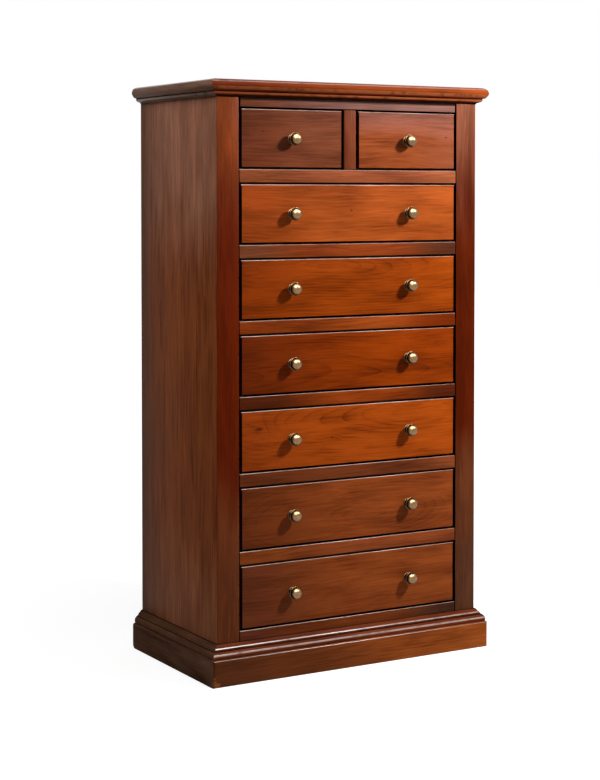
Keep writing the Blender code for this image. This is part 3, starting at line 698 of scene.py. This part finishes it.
# Painted shade for the cove and the hollow, a painted highlight for the beads and the top of the nose,
# and painted light for the lower nose and the bead on the front and on the returns
painted_hollow_shade = stain_and_painted_light_band("painted_shade_in_hollows", "#4c2110", 0.0)
painted_bead_highlight = stain_and_painted_light_band("painted_highlight_on_beads", "#8b6252", 0.45)
painted_bead_light = stain_and_painted_light_band("painted_light_on_nose_and_bead", "#9c5028", 0.1)
painted_return_light = stain_and_painted_light_band("painted_light_on_return_bead", "#6c5243", 0.1)
for length in ("front", "left", "right"):
    piece = moulding(f"cornice_{length}", length, section, CORNICE_PROJECTION)
    grain = "X" if length == "front" else "Y"
    finish = stained_cherry(f"stained_cherry_cornice_{length}", CORNICE_STAINS[length], grain=grain,
                            heart=(0.1, FRONT_Y, 1.32), reach=20, ring=5, ring_tone=0.15, cloud=1.0,
                            seed=2.2, shine=0.01, shades=CORNICE_SHADES[length])
    fit(piece, finish, "carcass_wood", "carcass", "cornice_moulding")
    # Painted shade in the front's cove, a painted highlight along the top of the nose, painted light on
    # the lower nose and the bead, and painted shade in the recess and along the foot
    if length == "front":
        mark_faces(piece, painted_hollow_shade, lambda normal, centre:
                   normal.z < COVE_SLOPE and centre.z < base_z + BEAD[0])
    mark_faces(piece, painted_bead_highlight, lambda normal, centre:
               CORNICE_HIGHLIGHT_SLOPES[length][0] < normal.z < CORNICE_HIGHLIGHT_SLOPES[length][1])
    if length == "front":
        mark_faces(piece, painted_bead_light, lambda normal, centre:
                   runs_along(length, normal) and within(centre.z, base_z, NOSE_UNDERSIDE))
    mark_faces(piece, painted_bead_light if length == "front" else painted_return_light, lambda normal, centre:
               runs_along(length, normal) and within(centre.z, base_z, BEAD))
    mark_faces(piece, painted_gap_shade, lambda normal, centre: runs_along(length, normal) and (
               centre.z < base_z + SKIRTS[length] or within(centre.z, base_z, RECESS)))


# Plinth
# Three cherry boards stand on the floor round the foot of the carcass, mitred at the front.
# Their front corners and their lower back ends are worn round. A moulding with two beads is
# planted on them.
PLINTH_PROJECTION = 0.024
PLINTH_TOP_ROUND = 0.0045
PLINTH_CORNER_ROUND = 0.008
PLINTH_HEEL_ROUND = 0.012
FOOT_EDGE = 0.0025
MOULDING_PROJECTION = 0.0195
CUTTER_FACETS = 48
# Middle and half height, over the foot of the planted moulding, of the painted highlight on each
# bead, of the painted shade in the hollow between them and of the near-black line painted
# beside it as painted shade
UPPER_BEAD = (0.0204, 0.0014)
LOWER_BEAD = (0.0084, 0.0019)
HOLLOW = (0.0172, 0.0014)
QUIRK = (0.0154, 0.0006)
# TOP_LINE is the height of a near-black strip painted along the moulding's top as painted shade at the
# joint. Faces between the next two pairs of slopes carry painted highlights, and faces that slope down
# past the last carry painted shade
TOP_LINE = 0.0006
PLINTH_HIGHLIGHT_SLOPES = (0.15, 0.80)
BOARD_HIGHLIGHT_SLOPES = (0.50, 0.70)
BEAD_UNDERSIDE_SLOPE = -0.3
ROUNDED_ENDS = {"front": (-1, 1), "left": (-1,), "right": (1,)}
PLINTH_SHINE = {"front": 0.01, "left": 0.0, "right": 0.01}
PLINTH_STAINS = {"front": "#9c4f20", "left": "#624333", "right": "#7a3d20"}
PLINTH_SHADES = {"front": (("#723a1c", 0.20, -0.12), ("#5a2f1a", -0.12, -0.32)),
                 "left": (), "right": ()}
BEAD_STAINS = {"front": "#6c3119", "left": "#64422f", "right": "#7a3d20"}
plinth_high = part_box("plinth_front")[1]
bead_low, bead_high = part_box("plinth_moulding_front")
# Each chip is a place across, a height and a size
CHIPS = ((-0.3602, 0.0205, 0.0026), (-0.3598, 0.0135, 0.0034), (-0.3570, 0.0075, 0.0048),
         (-0.3505, 0.0060, 0.0036), (-0.3475, 0.0085, 0.0020), (-0.3605, 0.0575, 0.0018))
BEAD_CHIPS = ((-0.3570, 0.0640, 0.0026), (-0.3560, 0.0695, 0.0016), (-0.3520, 0.0660, 0.0014))
board_section = [(JOINT_GAP, 0), (JOINT_GAP, plinth_high.z)]
board_section += arc((PLINTH_PROJECTION - PLINTH_TOP_ROUND, plinth_high.z - PLINTH_TOP_ROUND),
                     PLINTH_TOP_ROUND, 90, 0)
board_section += arc((PLINTH_PROJECTION - FOOT_EDGE, FOOT_EDGE), FOOT_EDGE, 0, -90, 3)
bead_section = [(JOINT_GAP, bead_low.z), (JOINT_GAP, bead_high.z)]
bead_section += [(out / 1000, bead_low.z + up / 1000) for out, up in (
    (1.2, 28.6), (2.8, 28.1), (4.0, 27.0), (4.8, 25.4), (5.7, 23.9), (7.1, 22.7), (8.6, 21.7),
    (9.8, 20.4), (10.3, 19.0), (10.5, 17.6), (11.2, 16.7), (12.6, 16.3), (13.2, 16.0), (13.5, 15.2),
    (14.4, 14.8), (15.9, 13.8), (17.2, 12.2), (18.2, 10.4), (18.9, 8.6), (19.3, 6.8), (19.4, 4.6),
    (19.2, 2.4), (18.6, 0.0))]


def round_off(piece, centre, side, low, high):
    """Rounds one corner of a plinth board: what lies between two corners but outside a cylinder
    about an axis goes."""
    waste = board("waste", low, high)
    turn = (0, 0, 0) if side == "Z" else (0, math.pi / 2, 0)
    radius = PLINTH_CORNER_ROUND if side == "Z" else PLINTH_HEEL_ROUND
    bpy.ops.object.select_all(action='DESELECT')
    bpy.ops.mesh.primitive_cylinder_add(vertices=CUTTER_FACETS, radius=radius, depth=2,
                                        location=centre, rotation=turn)
    bpy.ops.object.transform_apply(location=True, rotation=True, scale=True)
    cut_out(waste, bpy.context.object)
    cut_out(piece, waste)


def round_plinth(piece, hand, with_heel):
    """Takes the sharp corners off a plinth board: at the mitre, and at its lower back end."""
    x, y = hand * (HALF_WIDTH + PLINTH_PROJECTION), FRONT_Y - PLINTH_PROJECTION
    centre = (x - hand * PLINTH_CORNER_ROUND, y + PLINTH_CORNER_ROUND, 0)
    edges = sorted((centre[0], x + hand * OVERRUN))
    round_off(piece, centre, "Z", (edges[0], y - OVERRUN, -OVERRUN),
              (edges[1], centre[1], plinth_high.z + OVERRUN))
    if with_heel:
        edges = sorted((hand * (HALF_WIDTH - OVERRUN), x + hand * OVERRUN))
        centre = (x, BACK_Y - PLINTH_HEEL_ROUND, PLINTH_HEEL_ROUND)
        round_off(piece, centre, "X", (edges[0], centre[1], -OVERRUN),
                  (edges[1], BACK_Y + OVERRUN, centre[2]))


def near(height, foot, line):
    """Tells whether a height lies on a line of a moulding, given by its middle and half height."""
    return abs(height - foot - line[0]) < line[1]


# A pale tone painted on the plinth beads: a painted highlight
painted_plinth_highlight = stain_and_painted_light_band("painted_highlight_on_plinth_beads", "#a88d82", 0.6)
for length in ("front", "left", "right"):
    grain = "X" if length == "front" else "Y"
    piece = moulding(f"plinth_board_{length}", length, board_section, PLINTH_PROJECTION)
    for hand in ROUNDED_ENDS[length]:
        round_plinth(piece, hand, length != "front")
    finish = stained_cherry(f"stained_cherry_plinth_{length}", PLINTH_STAINS[length], grain=grain,
                            heart=(0.2, FRONT_Y - PLINTH_PROJECTION, 0.10), reach=16, ring=7,
                            ring_tone=0.2, cloud=1.2, seed=4.4, shine=PLINTH_SHINE[length],
                            chips=CHIPS if length == "front" else (), shades=PLINTH_SHADES[length])
    fit(piece, finish, "carcass_wood", "carcass", f"plinth_{length}")
    # A painted highlight on the front board's top edge and on the two beads; painted shade in the hollow,
    # under the beads and along the joints
    if length == "front":
        mark_faces(piece, painted_bead_highlight, lambda normal, centre:
                   BOARD_HIGHLIGHT_SLOPES[0] < normal.z < BOARD_HIGHLIGHT_SLOPES[1])
    piece = moulding(f"plinth_beads_{length}", length, bead_section, MOULDING_PROJECTION)
    finish = stained_cherry(f"stained_cherry_beads_{length}", BEAD_STAINS[length], grain=grain,
                            heart=(0.2, FRONT_Y - MOULDING_PROJECTION, 0.2), reach=16, ring=5,
                            ring_tone=0.15, seed=6.1, shine=PLINTH_SHINE[length],
                            chips=BEAD_CHIPS if length == "front" else ())
    fit(piece, finish, "carcass_wood", "carcass", f"plinth_moulding_{length}")
    if length == "front":
        mark_faces(piece, painted_plinth_highlight, lambda normal, centre:
                   PLINTH_HIGHLIGHT_SLOPES[0] < normal.z < PLINTH_HIGHLIGHT_SLOPES[1] and
                   (near(centre.z, bead_low.z, UPPER_BEAD) or near(centre.z, bead_low.z, LOWER_BEAD)))
        mark_faces(piece, painted_hollow_shade, lambda normal, centre: near(centre.z, bead_low.z, HOLLOW))
    mark_faces(piece, painted_gap_shade, lambda normal, centre: runs_along(length, normal) and (
               normal.z < BEAD_UNDERSIDE_SLOPE or centre.z > bead_high.z - TOP_LINE or
               near(centre.z, bead_low.z, QUIRK)))


# Drawers
# Each drawer has a solid cherry front, poplar sides that are lap-dovetailed into it, a back
# set between the sides, and a thin bottom that slides in grooves.
FRONT_EDGE = 0.0030
FRONT_EDGE_STEPS = 4
FRONT_SMOOTH_ANGLE = math.radians(40)
FRONT_HIGHLIGHT_SLOPES = (0.42, 0.70)
SIDE_THICKNESS = 0.011
BACK_THICKNESS = 0.010
BACK_INSET = 0.008
BACK_DROP = 0.005
GROOVE_DEPTH = 0.005
TAIL_PITCH = 0.032
PIN_WIDTH = 0.009
PIN_TAPER = 0.45
# The shade along Z on drawer_1_right, pinker towards its top, is a painted reflection of a light above at
# the right
FRONT_BOARDS = {
    "drawer_1_left": dict(stain="#733b23", heart=(-0.28, 1.25), reach=20, ring_tone=0.12,
                          knots=((-0.225, 1.190, 0.0012),), shades=(("#69321b", -0.12, -0.27),)),
    "drawer_1_right": dict(stain="#984a24", heart=(0.35, 1.12), reach=15, ring_tone=0.05,
                           knots=((0.255, 1.184, 0.0015),),
                           shades=(("#86462b", 0.12, 0.30), ("#8a5242", 1.175, 1.240, "Z"))),
    "drawer_2": dict(stain="#a34b1a", heart=(0.05, 1.16), reach=9, ring_tone=0.14,
                     knots=((0.0, 1.018, 0.0016),), shades=(("#994112", -0.05, -0.28),)),
    "drawer_3": dict(stain="#933c07", heart=(-0.03, 0.90), reach=6, ring_tone=0.32,
                     knots=(), shades=(("#843305", -0.05, -0.28),)),
    "drawer_4": dict(stain="#8b3504", heart=(-0.5, 0.66), reach=12, ring_tone=0.24,
                     knots=(), shades=(("#6c2706", 0.0, -0.28),)),
    "drawer_5": dict(stain="#a1440c", heart=(0.16, 0.56), reach=6, ring_tone=0.32,
                     knots=((-0.235, 0.545, 0.004), (-0.05, 0.515, 0.0016)),
                     shades=(("#923c0c", -0.05, -0.28),)),
    "drawer_6": dict(stain="#873f18", heart=(0.06, 0.335), reach=4, ring_tone=0.24,
                     knots=(), shades=(("#6c3113", 0.0, -0.28),)),
    "drawer_7": dict(stain="#863f18", heart=(0.1, 0.26), reach=14, ring_tone=0.07,
                     knots=(), shades=(("#632f18", 0.0, -0.28),))}


def round_front(piece, y, radius):
    """Rounds over the edges that lie in the front plane."""
    hold(piece)
    bpy.context.tool_settings.mesh_select_mode = (False, True, False)
    mesh = piece.data
    for part in (*mesh.vertices, *mesh.polygons):
        part.select = False
    for edge in mesh.edges:
        edge.select = all(abs(mesh.vertices[index].co.y - y) < JOINT_GAP for index in edge.vertices)
    bpy.ops.object.mode_set(mode='EDIT')
    bpy.ops.mesh.bevel(offset=radius, segments=FRONT_EDGE_STEPS, affect='EDGES')
    bpy.ops.object.mode_set(mode='OBJECT')


def pin_cutter(low, high):
    """The waste between two dovetails: wide at the shoulder and narrow at the front."""
    cutter = board("waste", low, high)
    bpy.context.tool_settings.mesh_select_mode = (False, False, True)
    mesh = cutter.data
    for part in (*mesh.vertices, *mesh.edges):
        part.select = False
    for face in mesh.polygons:
        face.select = face.normal.y < FRONT_SLOPE
    bpy.ops.object.mode_set(mode='EDIT')
    middle = ((low[0] + high[0]) / 2, low[1], (low[2] + high[2]) / 2)
    bpy.ops.transform.resize(value=(1, 1, PIN_TAPER), center_override=middle)
    bpy.ops.object.mode_set(mode='OBJECT')
    return cutter


edge_stain = stain_and_painted_light_band("stain_wiped_over_edges", "#5a2c17", 0.0)
box_wood = {"X": sawn_poplar("drawer_poplar_across", "#8a6238", "#cfa872", "X"),
            "Y": sawn_poplar("drawer_poplar_along", "#8a6238", "#cfa872", "Y")}
bottom_board = pressed_board("pressed_hardboard_bottom", "#5a3a20", "#94683c")
for name, looks in FRONT_BOARDS.items():
    low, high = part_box(f"{name}_front")
    front = board(f"{name}_face", low, high)
    round_front(front, low.y, FRONT_EDGE)
    box_low, box_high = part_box(f"{name}_box")
    panel_low, panel_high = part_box(f"{name}_bottom")
    groove = (panel_low.z - JOINT_GAP, panel_high.z + JOINT_GAP)
    sides = []
    for side, hand in (("left", -1), ("right", 1)):
        edge = box_low.x if hand < 0 else box_high.x
        inner = edge - hand * SIDE_THICKNESS
        across = sorted((edge, inner))
        piece = board(f"{name}_{side}_wall", (across[0], box_low.y, box_low.z),
                      (across[1], box_high.y, box_high.z))
        tail_room = box_high.z - box_low.z
        pins = round(tail_room / TAIL_PITCH) - 1
        for step in range(pins):
            at = box_low.z + tail_room * (step + 1) / (pins + 1)
            cut_out(piece, pin_cutter((across[0] - OVERRUN, box_low.y - JOINT_GAP, at - PIN_WIDTH / 2),
                                      (across[1] + OVERRUN, high.y, at + PIN_WIDTH / 2)))
        cut_out(front, set_copy(piece, "socket", (0, 0, 0)))
        slot_edges = sorted((inner - hand * OVERRUN, inner + hand * GROOVE_DEPTH))
        cut_out(piece, board("groove", (slot_edges[0], high.y, groove[0]),
                             (slot_edges[1], box_high.y + OVERRUN, groove[1])))
        sides.append((piece, inner))
    half_groove = sides[1][1] + GROOVE_DEPTH
    cut_out(front, board("groove", (sides[0][1] - GROOVE_DEPTH, high.y - GROOVE_DEPTH, groove[0]),
                         (half_groove, high.y + OVERRUN, groove[1])))
    hold(front)
    bpy.ops.object.shade_smooth_by_angle(angle=FRONT_SMOOTH_ANGLE)
    finish = stained_cherry(f"stained_cherry_{name}", looks["stain"],
                            heart=(looks["heart"][0], low.y, looks["heart"][1]), reach=looks["reach"],
                            knots=looks["knots"], ring_tone=looks["ring_tone"], shades=looks["shades"],
                            seed=low.z * 3)
    fit(front, finish, "drawer_front_wood", name, f"{name}_front")
    # A painted highlight on the front's upper edge and painted shade on the rounded edges beside the
    # gaps; the flat edges get a darker stain
    mark_faces(front, painted_edge_highlight, lambda normal, centre: normal.y < FRONT_SLOPE and
               FRONT_HIGHLIGHT_SLOPES[0] < normal.z < FRONT_HIGHLIGHT_SLOPES[1])
    mark_faces(front, edge_stain, lambda normal, centre: abs(normal.y) < EDGE_TILT)
    mark_faces(front, painted_gap_shade, lambda normal, centre: centre.y < low.y + FRONT_EDGE and (
               abs(normal.x) > GAP_SHADE_SLOPE or normal.z < -GAP_SHADE_SLOPE or
               normal.z > FRONT_HIGHLIGHT_SLOPES[1]))
    for piece, inner in sides:
        soften(piece, RAW_EDGE)
        fit(piece, box_wood["Y"], "drawer_box_wood", name, f"{name}_box")
    back_end = box_high.y - BACK_INSET
    raw_part(f"{name}_rear", (sides[0][1], back_end - BACK_THICKNESS, groove[1]),
             (sides[1][1], back_end, box_high.z - BACK_DROP),
             box_wood["X"], "drawer_box_wood", name, f"{name}_box")
    raw_part(f"{name}_floor", panel_low, panel_high,
             bottom_board, "panel_board", name, f"{name}_bottom")


# Knobs
# Cast brass, turned and then darkened with acid. Handling keeps the dome bright; the rims are
# duller. The grooves are nearly black with patina, and the neck and the rose's face under the
# head are painted nearly black as painted shade. A thin rose lies against the drawer front, and a
# screw holds the knob from inside.
ROSE_RADIUS = 0.0113
ROSE_THICKNESS = 0.0025
ROSE_ROUND = 0.0008
ROSE_ROUND_HEIGHT = 0.0012
ROSE_SLOPE_INSETS = (0.0022, 0.0028)
ROSE_SLOPE_FOOT = 0.0021
NECK_RADIUS = 0.0050
NECK_BEAD = 0.0024
NECK_BEAD_REACH = 0.0010
NECK_START = 0.0030
NECK_LENGTH = 0.0050
FLARE_LENGTH = 0.0060
FLARE_INSET = 0.0015
FLARE_STEPS = 7
HEAD_RADIUS = 0.0145
RIM_THICKNESS = 0.0016
RIM_LIP = 0.0006
CORNER_STEP = 0.0002
GROOVE_WIDTH = 0.0016
GROOVE_RADIUS = 0.0100
DOME_RADIUS = 0.0122
DOME_HEIGHT = 0.0083
DOME_TUCK = math.radians(22)
DOME_STEPS = 16
KNOB_STEPS = 48
KNOB_SMOOTH_ANGLE = math.radians(50)
SCREW_HEAD_RADIUS = 0.0044
SCREW_HEAD_HEIGHT = 0.0022
SCREW_HEAD_ROUND = 0.0007
SCREW_SLOT_WIDTH = 0.0010
# How far the dark patina reaches past the groove, how far the painted shade reaches under the
# rim, and the clear borders that they leave on the rim and on the rose
PATINA_PAST_GROOVE = (0.0003, 0.0005)
PAINTED_SHADE_UNDER_RIM = 0.0009
RIM_BORDERS = (0.0003, 0.0009)
ROSE_BORDERS = (0.0016, 0.0015)
KNOB_NODES = [name for name in sorted(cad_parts) if "_knob" in name]


def antique_brass(name, worn, patina, shine):
    """Cast brass with a brown patina, worn in fine spots. The eye sees warm brown gold with a
    soft white shine on the head, and nearly black brown in the grooves."""
    material, tree, shader, place = new_finish(name)
    spots = add_node(tree, "TexNoise", {"Vector": place, "Scale": 300.0, "Detail": 4.0}).outputs[0]
    ramp = add_node(tree, "ValToRGB", {0: spots})
    stops = ramp.color_ramp.elements
    stops[0].position, stops[0].color = 0.3, colour(patina)
    stops[1].position, stops[1].color = 0.6, colour(worn)
    rough = add_node(tree, "MapRange", {"Value": spots, "To Min": 0.36, "To Max": 0.26}).outputs[0]
    dent = add_node(tree, "Bump", {"Height": spots, "Strength": 0.1, "Distance": 0.0002}).outputs[0]
    set_inputs(tree, shader, {"Base Color": ramp.outputs[0], "Roughness": rough, "Normal": dent,
                              "Metallic": 1.0, "Coat Weight": shine, "Coat Roughness": 0.3,
                              "Coat IOR": 1.55})
    material.diffuse_color = colour(worn)
    return material


def turn_on_lathe(name, profile):
    """Turns a closed piece about Y from (radius, distance out) points on one side of the axis."""
    piece = drawn_line(name, [(radius, -distance) for radius, distance in profile], '3D')
    hold(piece)
    bpy.ops.object.convert(target='MESH')
    bpy.ops.object.mode_set(mode='EDIT')
    bpy.ops.mesh.select_all(action='SELECT')
    bpy.ops.mesh.spin(steps=KNOB_STEPS, angle=math.tau, center=(0, 0, 0), axis=(0, 1, 0))
    weld_shut()
    bpy.ops.object.shade_smooth_by_angle(angle=KNOB_SMOOTH_ANGLE)
    return piece


rim_start = ROSE_THICKNESS + NECK_LENGTH + FLARE_LENGTH
groove_start = rim_start + RIM_THICKNESS
groove_end = groove_start + GROOVE_WIDTH
rim_round = RIM_THICKNESS / 2
bead_round = NECK_BEAD / 2
bead_middle = ROSE_THICKNESS + bead_round + CORNER_STEP
knob_line = [(0, JOINT_GAP), (ROSE_RADIUS - ROSE_ROUND / 2, JOINT_GAP)]
knob_line += arc((ROSE_RADIUS - ROSE_ROUND, ROSE_ROUND_HEIGHT), ROSE_ROUND, -40, 90, 4)
knob_line += [(ROSE_RADIUS - ROSE_SLOPE_INSETS[0], ROSE_SLOPE_FOOT),
              (ROSE_RADIUS - ROSE_SLOPE_INSETS[1], ROSE_THICKNESS),
              (NECK_RADIUS + NECK_BEAD_REACH + CORNER_STEP, ROSE_THICKNESS + CORNER_STEP)]
knob_line += arc((NECK_RADIUS + NECK_BEAD_REACH, bead_middle), bead_round, -90, 90, 6)
knob_line += [(NECK_RADIUS, ROSE_THICKNESS + NECK_START), (NECK_RADIUS, ROSE_THICKNESS + NECK_LENGTH)]
for step in range(1, FLARE_STEPS + 1):
    angle = math.pi / 2 * step / FLARE_STEPS
    flare = HEAD_RADIUS - FLARE_INSET - NECK_RADIUS
    knob_line.append((NECK_RADIUS + flare * (1 - math.cos(angle)),
                      rim_start - FLARE_LENGTH * (1 - math.sin(angle))))
knob_line += arc((HEAD_RADIUS - rim_round, rim_start + rim_round), rim_round, -80, 80, 8)
knob_line += [(DOME_RADIUS - RIM_LIP, groove_start), (GROOVE_RADIUS, groove_start + CORNER_STEP),
              (GROOVE_RADIUS, groove_end - CORNER_STEP)]
widest = groove_end + DOME_HEIGHT * math.sin(DOME_TUCK)
for step in range(DOME_STEPS):
    angle = -DOME_TUCK + (math.pi / 2 + DOME_TUCK) * step / DOME_STEPS
    knob_line.append((DOME_RADIUS * math.cos(angle), widest + DOME_HEIGHT * math.sin(angle)))
knob_line.append((0, widest + DOME_HEIGHT))
pattern_knob = turn_on_lathe("pattern_knob", knob_line)
head_line = [(0, 0), (SCREW_HEAD_RADIUS, 0)]
head_line += arc((SCREW_HEAD_RADIUS - SCREW_HEAD_ROUND, -SCREW_HEAD_HEIGHT + SCREW_HEAD_ROUND),
                 SCREW_HEAD_ROUND, 0, -90, 3)
head_line.append((0, -SCREW_HEAD_HEIGHT))
pattern_screw = turn_on_lathe("pattern_screw", head_line)
slot_reach = SCREW_HEAD_RADIUS * 2
cut_out(pattern_screw, board("driver_slot",
                             (-slot_reach, SCREW_HEAD_HEIGHT / 2, -SCREW_SLOT_WIDTH / 2),
                             (slot_reach, SCREW_HEAD_HEIGHT * 2, SCREW_SLOT_WIDTH / 2)))
knob_brass = antique_brass("antique_brass_rubbed", "#7d5a22", "#553e1a", 1.0)
rim_brass = antique_brass("antique_brass_rims", "#735330", "#43321c", 0.25)
# Near black for the grooves, where the patina is, and for the neck and rose under the head, as painted
# shade
patina_and_shade_brass = antique_brass("antique_brass_patina_and_painted_shade", "#2c2116", "#150e08", 0.0)


def in_patina_and_painted_shade(reach, out):
    """Tells whether a place on a knob lies in a groove, where the patina stays, or on the neck and the
    rose's face under the head, where shade is painted.
    """
    rose_end = ROSE_THICKNESS + NECK_BEAD
    under_head = (rose_end < out < rim_start + PAINTED_SHADE_UNDER_RIM and
                  reach < HEAD_RADIUS - RIM_BORDERS[0])
    on_rose = (out < rose_end and
               NECK_RADIUS + ROSE_BORDERS[0] < reach < ROSE_RADIUS - ROSE_BORDERS[1])
    in_groove = (groove_start - PATINA_PAST_GROOVE[0] < out < groove_end + PATINA_PAST_GROOVE[1] and
                 reach < HEAD_RADIUS - RIM_BORDERS[1])
    return under_head or on_rose or in_groove


for node in KNOB_NODES:
    low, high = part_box(node)
    body = node.split("_knob")[0]
    centre_x, centre_z = (low.x + high.x) / 2, (low.z + high.z) / 2
    inside_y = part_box(f"{body}_front")[1].y
    for pattern, suffix, y, finish in ((pattern_knob, "turned", FRONT_Y, knob_brass),
                                       (pattern_screw, "screw", inside_y + JOINT_GAP, steel)):
        copy = set_copy(pattern, f"{node}_{suffix}", (centre_x, y, centre_z))
        fit(copy, finish, "antique_brass", body, node)
        if pattern == pattern_knob:
            mark_faces(copy, rim_brass, lambda normal, centre: FRONT_Y - centre.y < groove_end)
            mark_faces(copy, patina_and_shade_brass, lambda normal, centre: in_patina_and_painted_shade(
                math.hypot(centre.x - centre_x, centre.z - centre_z), FRONT_Y - centre.y))
bpy.data.objects.remove(pattern_knob)
bpy.data.objects.remove(pattern_screw)


# Floor, lamps and camera
# White paper that glows a little more with distance keeps the chest's faint shadow. A small
# lamp in front at the right throws the knobs' shadows, wide ones light the left side and the
# right from above, and a white sheet overhead shows only in what shines.
FLOOR_SIZE = 24
# The place of each lamp, where it points, its size, its power in watts and its shape
LAMPS = {
    "key_lamp": ((1.22, -1.4, 1.98), (0, FRONT_Y, 0.8), (0.30, 0.30), 54, 'ELLIPSE'),
    "side_light": ((-1.5, -0.3, 2.5), (-HALF_WIDTH, 0, 0.8), (0.9, 0.9), 16, 'RECTANGLE'),
    "overhead_light": ((0.9, -0.7, 2.9), (0.9, -0.7, 0), (1.8, 1.0), 6, 'RECTANGLE'),
    "shine_sheet": ((-0.45, -1.6, 2.8), (0, FRONT_Y, 0.9), (2.1, 2.3), 290, 'RECTANGLE')}
FLAG_PLACE = (-2.0, -0.35, 1.0)
FLAG_SIZE = (1.7, 2.0)
SKY_LEVEL = 0.10
# The paper's glow near the chest and far from it, and the distances between which it grows
FLOOR_GLOW = (0.80, 1.0)
GLOW_REACH = (0.6, 3.0)
CAMERA_PLACE = (-2.10171, -3.54654, 1.05373)
CAMERA_YAW = 0.52853
CAMERA_PITCH = -0.0352
CAMERA_LENS = 82.376
CAMERA_SENSOR = 36
CAMERA_SHIFT = -0.17


def seen_rays(tree):
    """1 for the rays that show the background itself: the camera's, in gloss and through glass."""
    rays = add_node(tree, "LightPath", {}).outputs
    seen = add_node(tree, "Math", {0: rays["Is Camera Ray"], 1: rays["Is Glossy Ray"]},
                    operation='MAXIMUM').outputs[0]
    return add_node(tree, "Math", {0: seen, 1: rays["Is Transmission Ray"]},
                    operation='MAXIMUM').outputs[0]


bpy.ops.object.select_all(action='DESELECT')
bpy.ops.mesh.primitive_plane_add(size=FLOOR_SIZE, location=(0, 0, 0))
floor = bpy.context.object
floor.name = "studio_floor"
paper, tree, shader, place = new_finish("white_background_paper")
set_inputs(tree, shader, {"Base Color": colour("#b4b4b4"), "Roughness": 0.9})
seen = seen_rays(tree)
distance = add_node(tree, "VectorMath", {0: place}, operation='LENGTH').outputs["Value"]
level = add_node(tree, "MapRange", {"Value": distance, "From Min": GLOW_REACH[0],
                                    "From Max": GLOW_REACH[1], "To Min": FLOOR_GLOW[0],
                                    "To Max": FLOOR_GLOW[1]}).outputs[0]
glow = add_node(tree, "Math", {0: seen, 1: level}, operation='MULTIPLY').outputs[0]
white = add_node(tree, "Emission", {"Color": (1, 1, 1, 1), "Strength": glow}).outputs[0]
lit = add_node(tree, "AddShader", {0: shader.outputs[0], 1: white}).outputs[0]
set_inputs(tree, tree.nodes["Material Output"], {"Surface": lit})
floor.data.materials.append(paper)

world = bpy.data.worlds.new("studio_world")
bpy.context.scene.world = world
world.use_nodes = True
tree = world.node_tree
seen = seen_rays(tree)
level = add_node(tree, "MapRange", {"Value": seen, "To Min": SKY_LEVEL, "To Max": 1.0}).outputs[0]
set_inputs(tree, tree.nodes["Background"], {"Color": (1, 1, 1, 1), "Strength": level})

for name, (place, target, size, power, shape) in LAMPS.items():
    aim = (Vector(target) - Vector(place)).to_track_quat('-Z', 'Y').to_euler()
    bpy.ops.object.light_add(type='AREA', location=place, rotation=aim)
    light = bpy.context.object
    light.name = name
    light.data.shape = shape
    light.data.size, light.data.size_y = size
    light.data.energy = power
    light.visible_diffuse = name != "shine_sheet"

# A black sheet at the left is seen only in what shines, where it deepens the side's colour
bpy.ops.object.select_all(action='DESELECT')
bpy.ops.mesh.primitive_plane_add(size=1, location=FLAG_PLACE, rotation=(0, math.pi / 2, 0),
                                 scale=(FLAG_SIZE[1], FLAG_SIZE[0], 1))
flag = bpy.context.object
flag.name = "studio_flag"
flag.visible_camera = False
flag.visible_diffuse = False
flag.visible_shadow = False
black = bpy.data.materials.new("black_card")
black.use_nodes = True
black.node_tree.nodes["Principled BSDF"].inputs["Base Color"].default_value = colour("#1c1a19")
flag.data.materials.append(black)

bpy.ops.object.camera_add(location=CAMERA_PLACE, rotation=(math.pi / 2 + CAMERA_PITCH, 0, -CAMERA_YAW))
camera = bpy.context.object
camera.data.sensor_fit = 'VERTICAL'
camera.data.sensor_height = CAMERA_SENSOR
camera.data.lens = CAMERA_LENS
camera.data.shift_y = CAMERA_SHIFT
bpy.context.scene.camera = camera
bpy.context.scene.view_settings.view_transform = 'Standard'
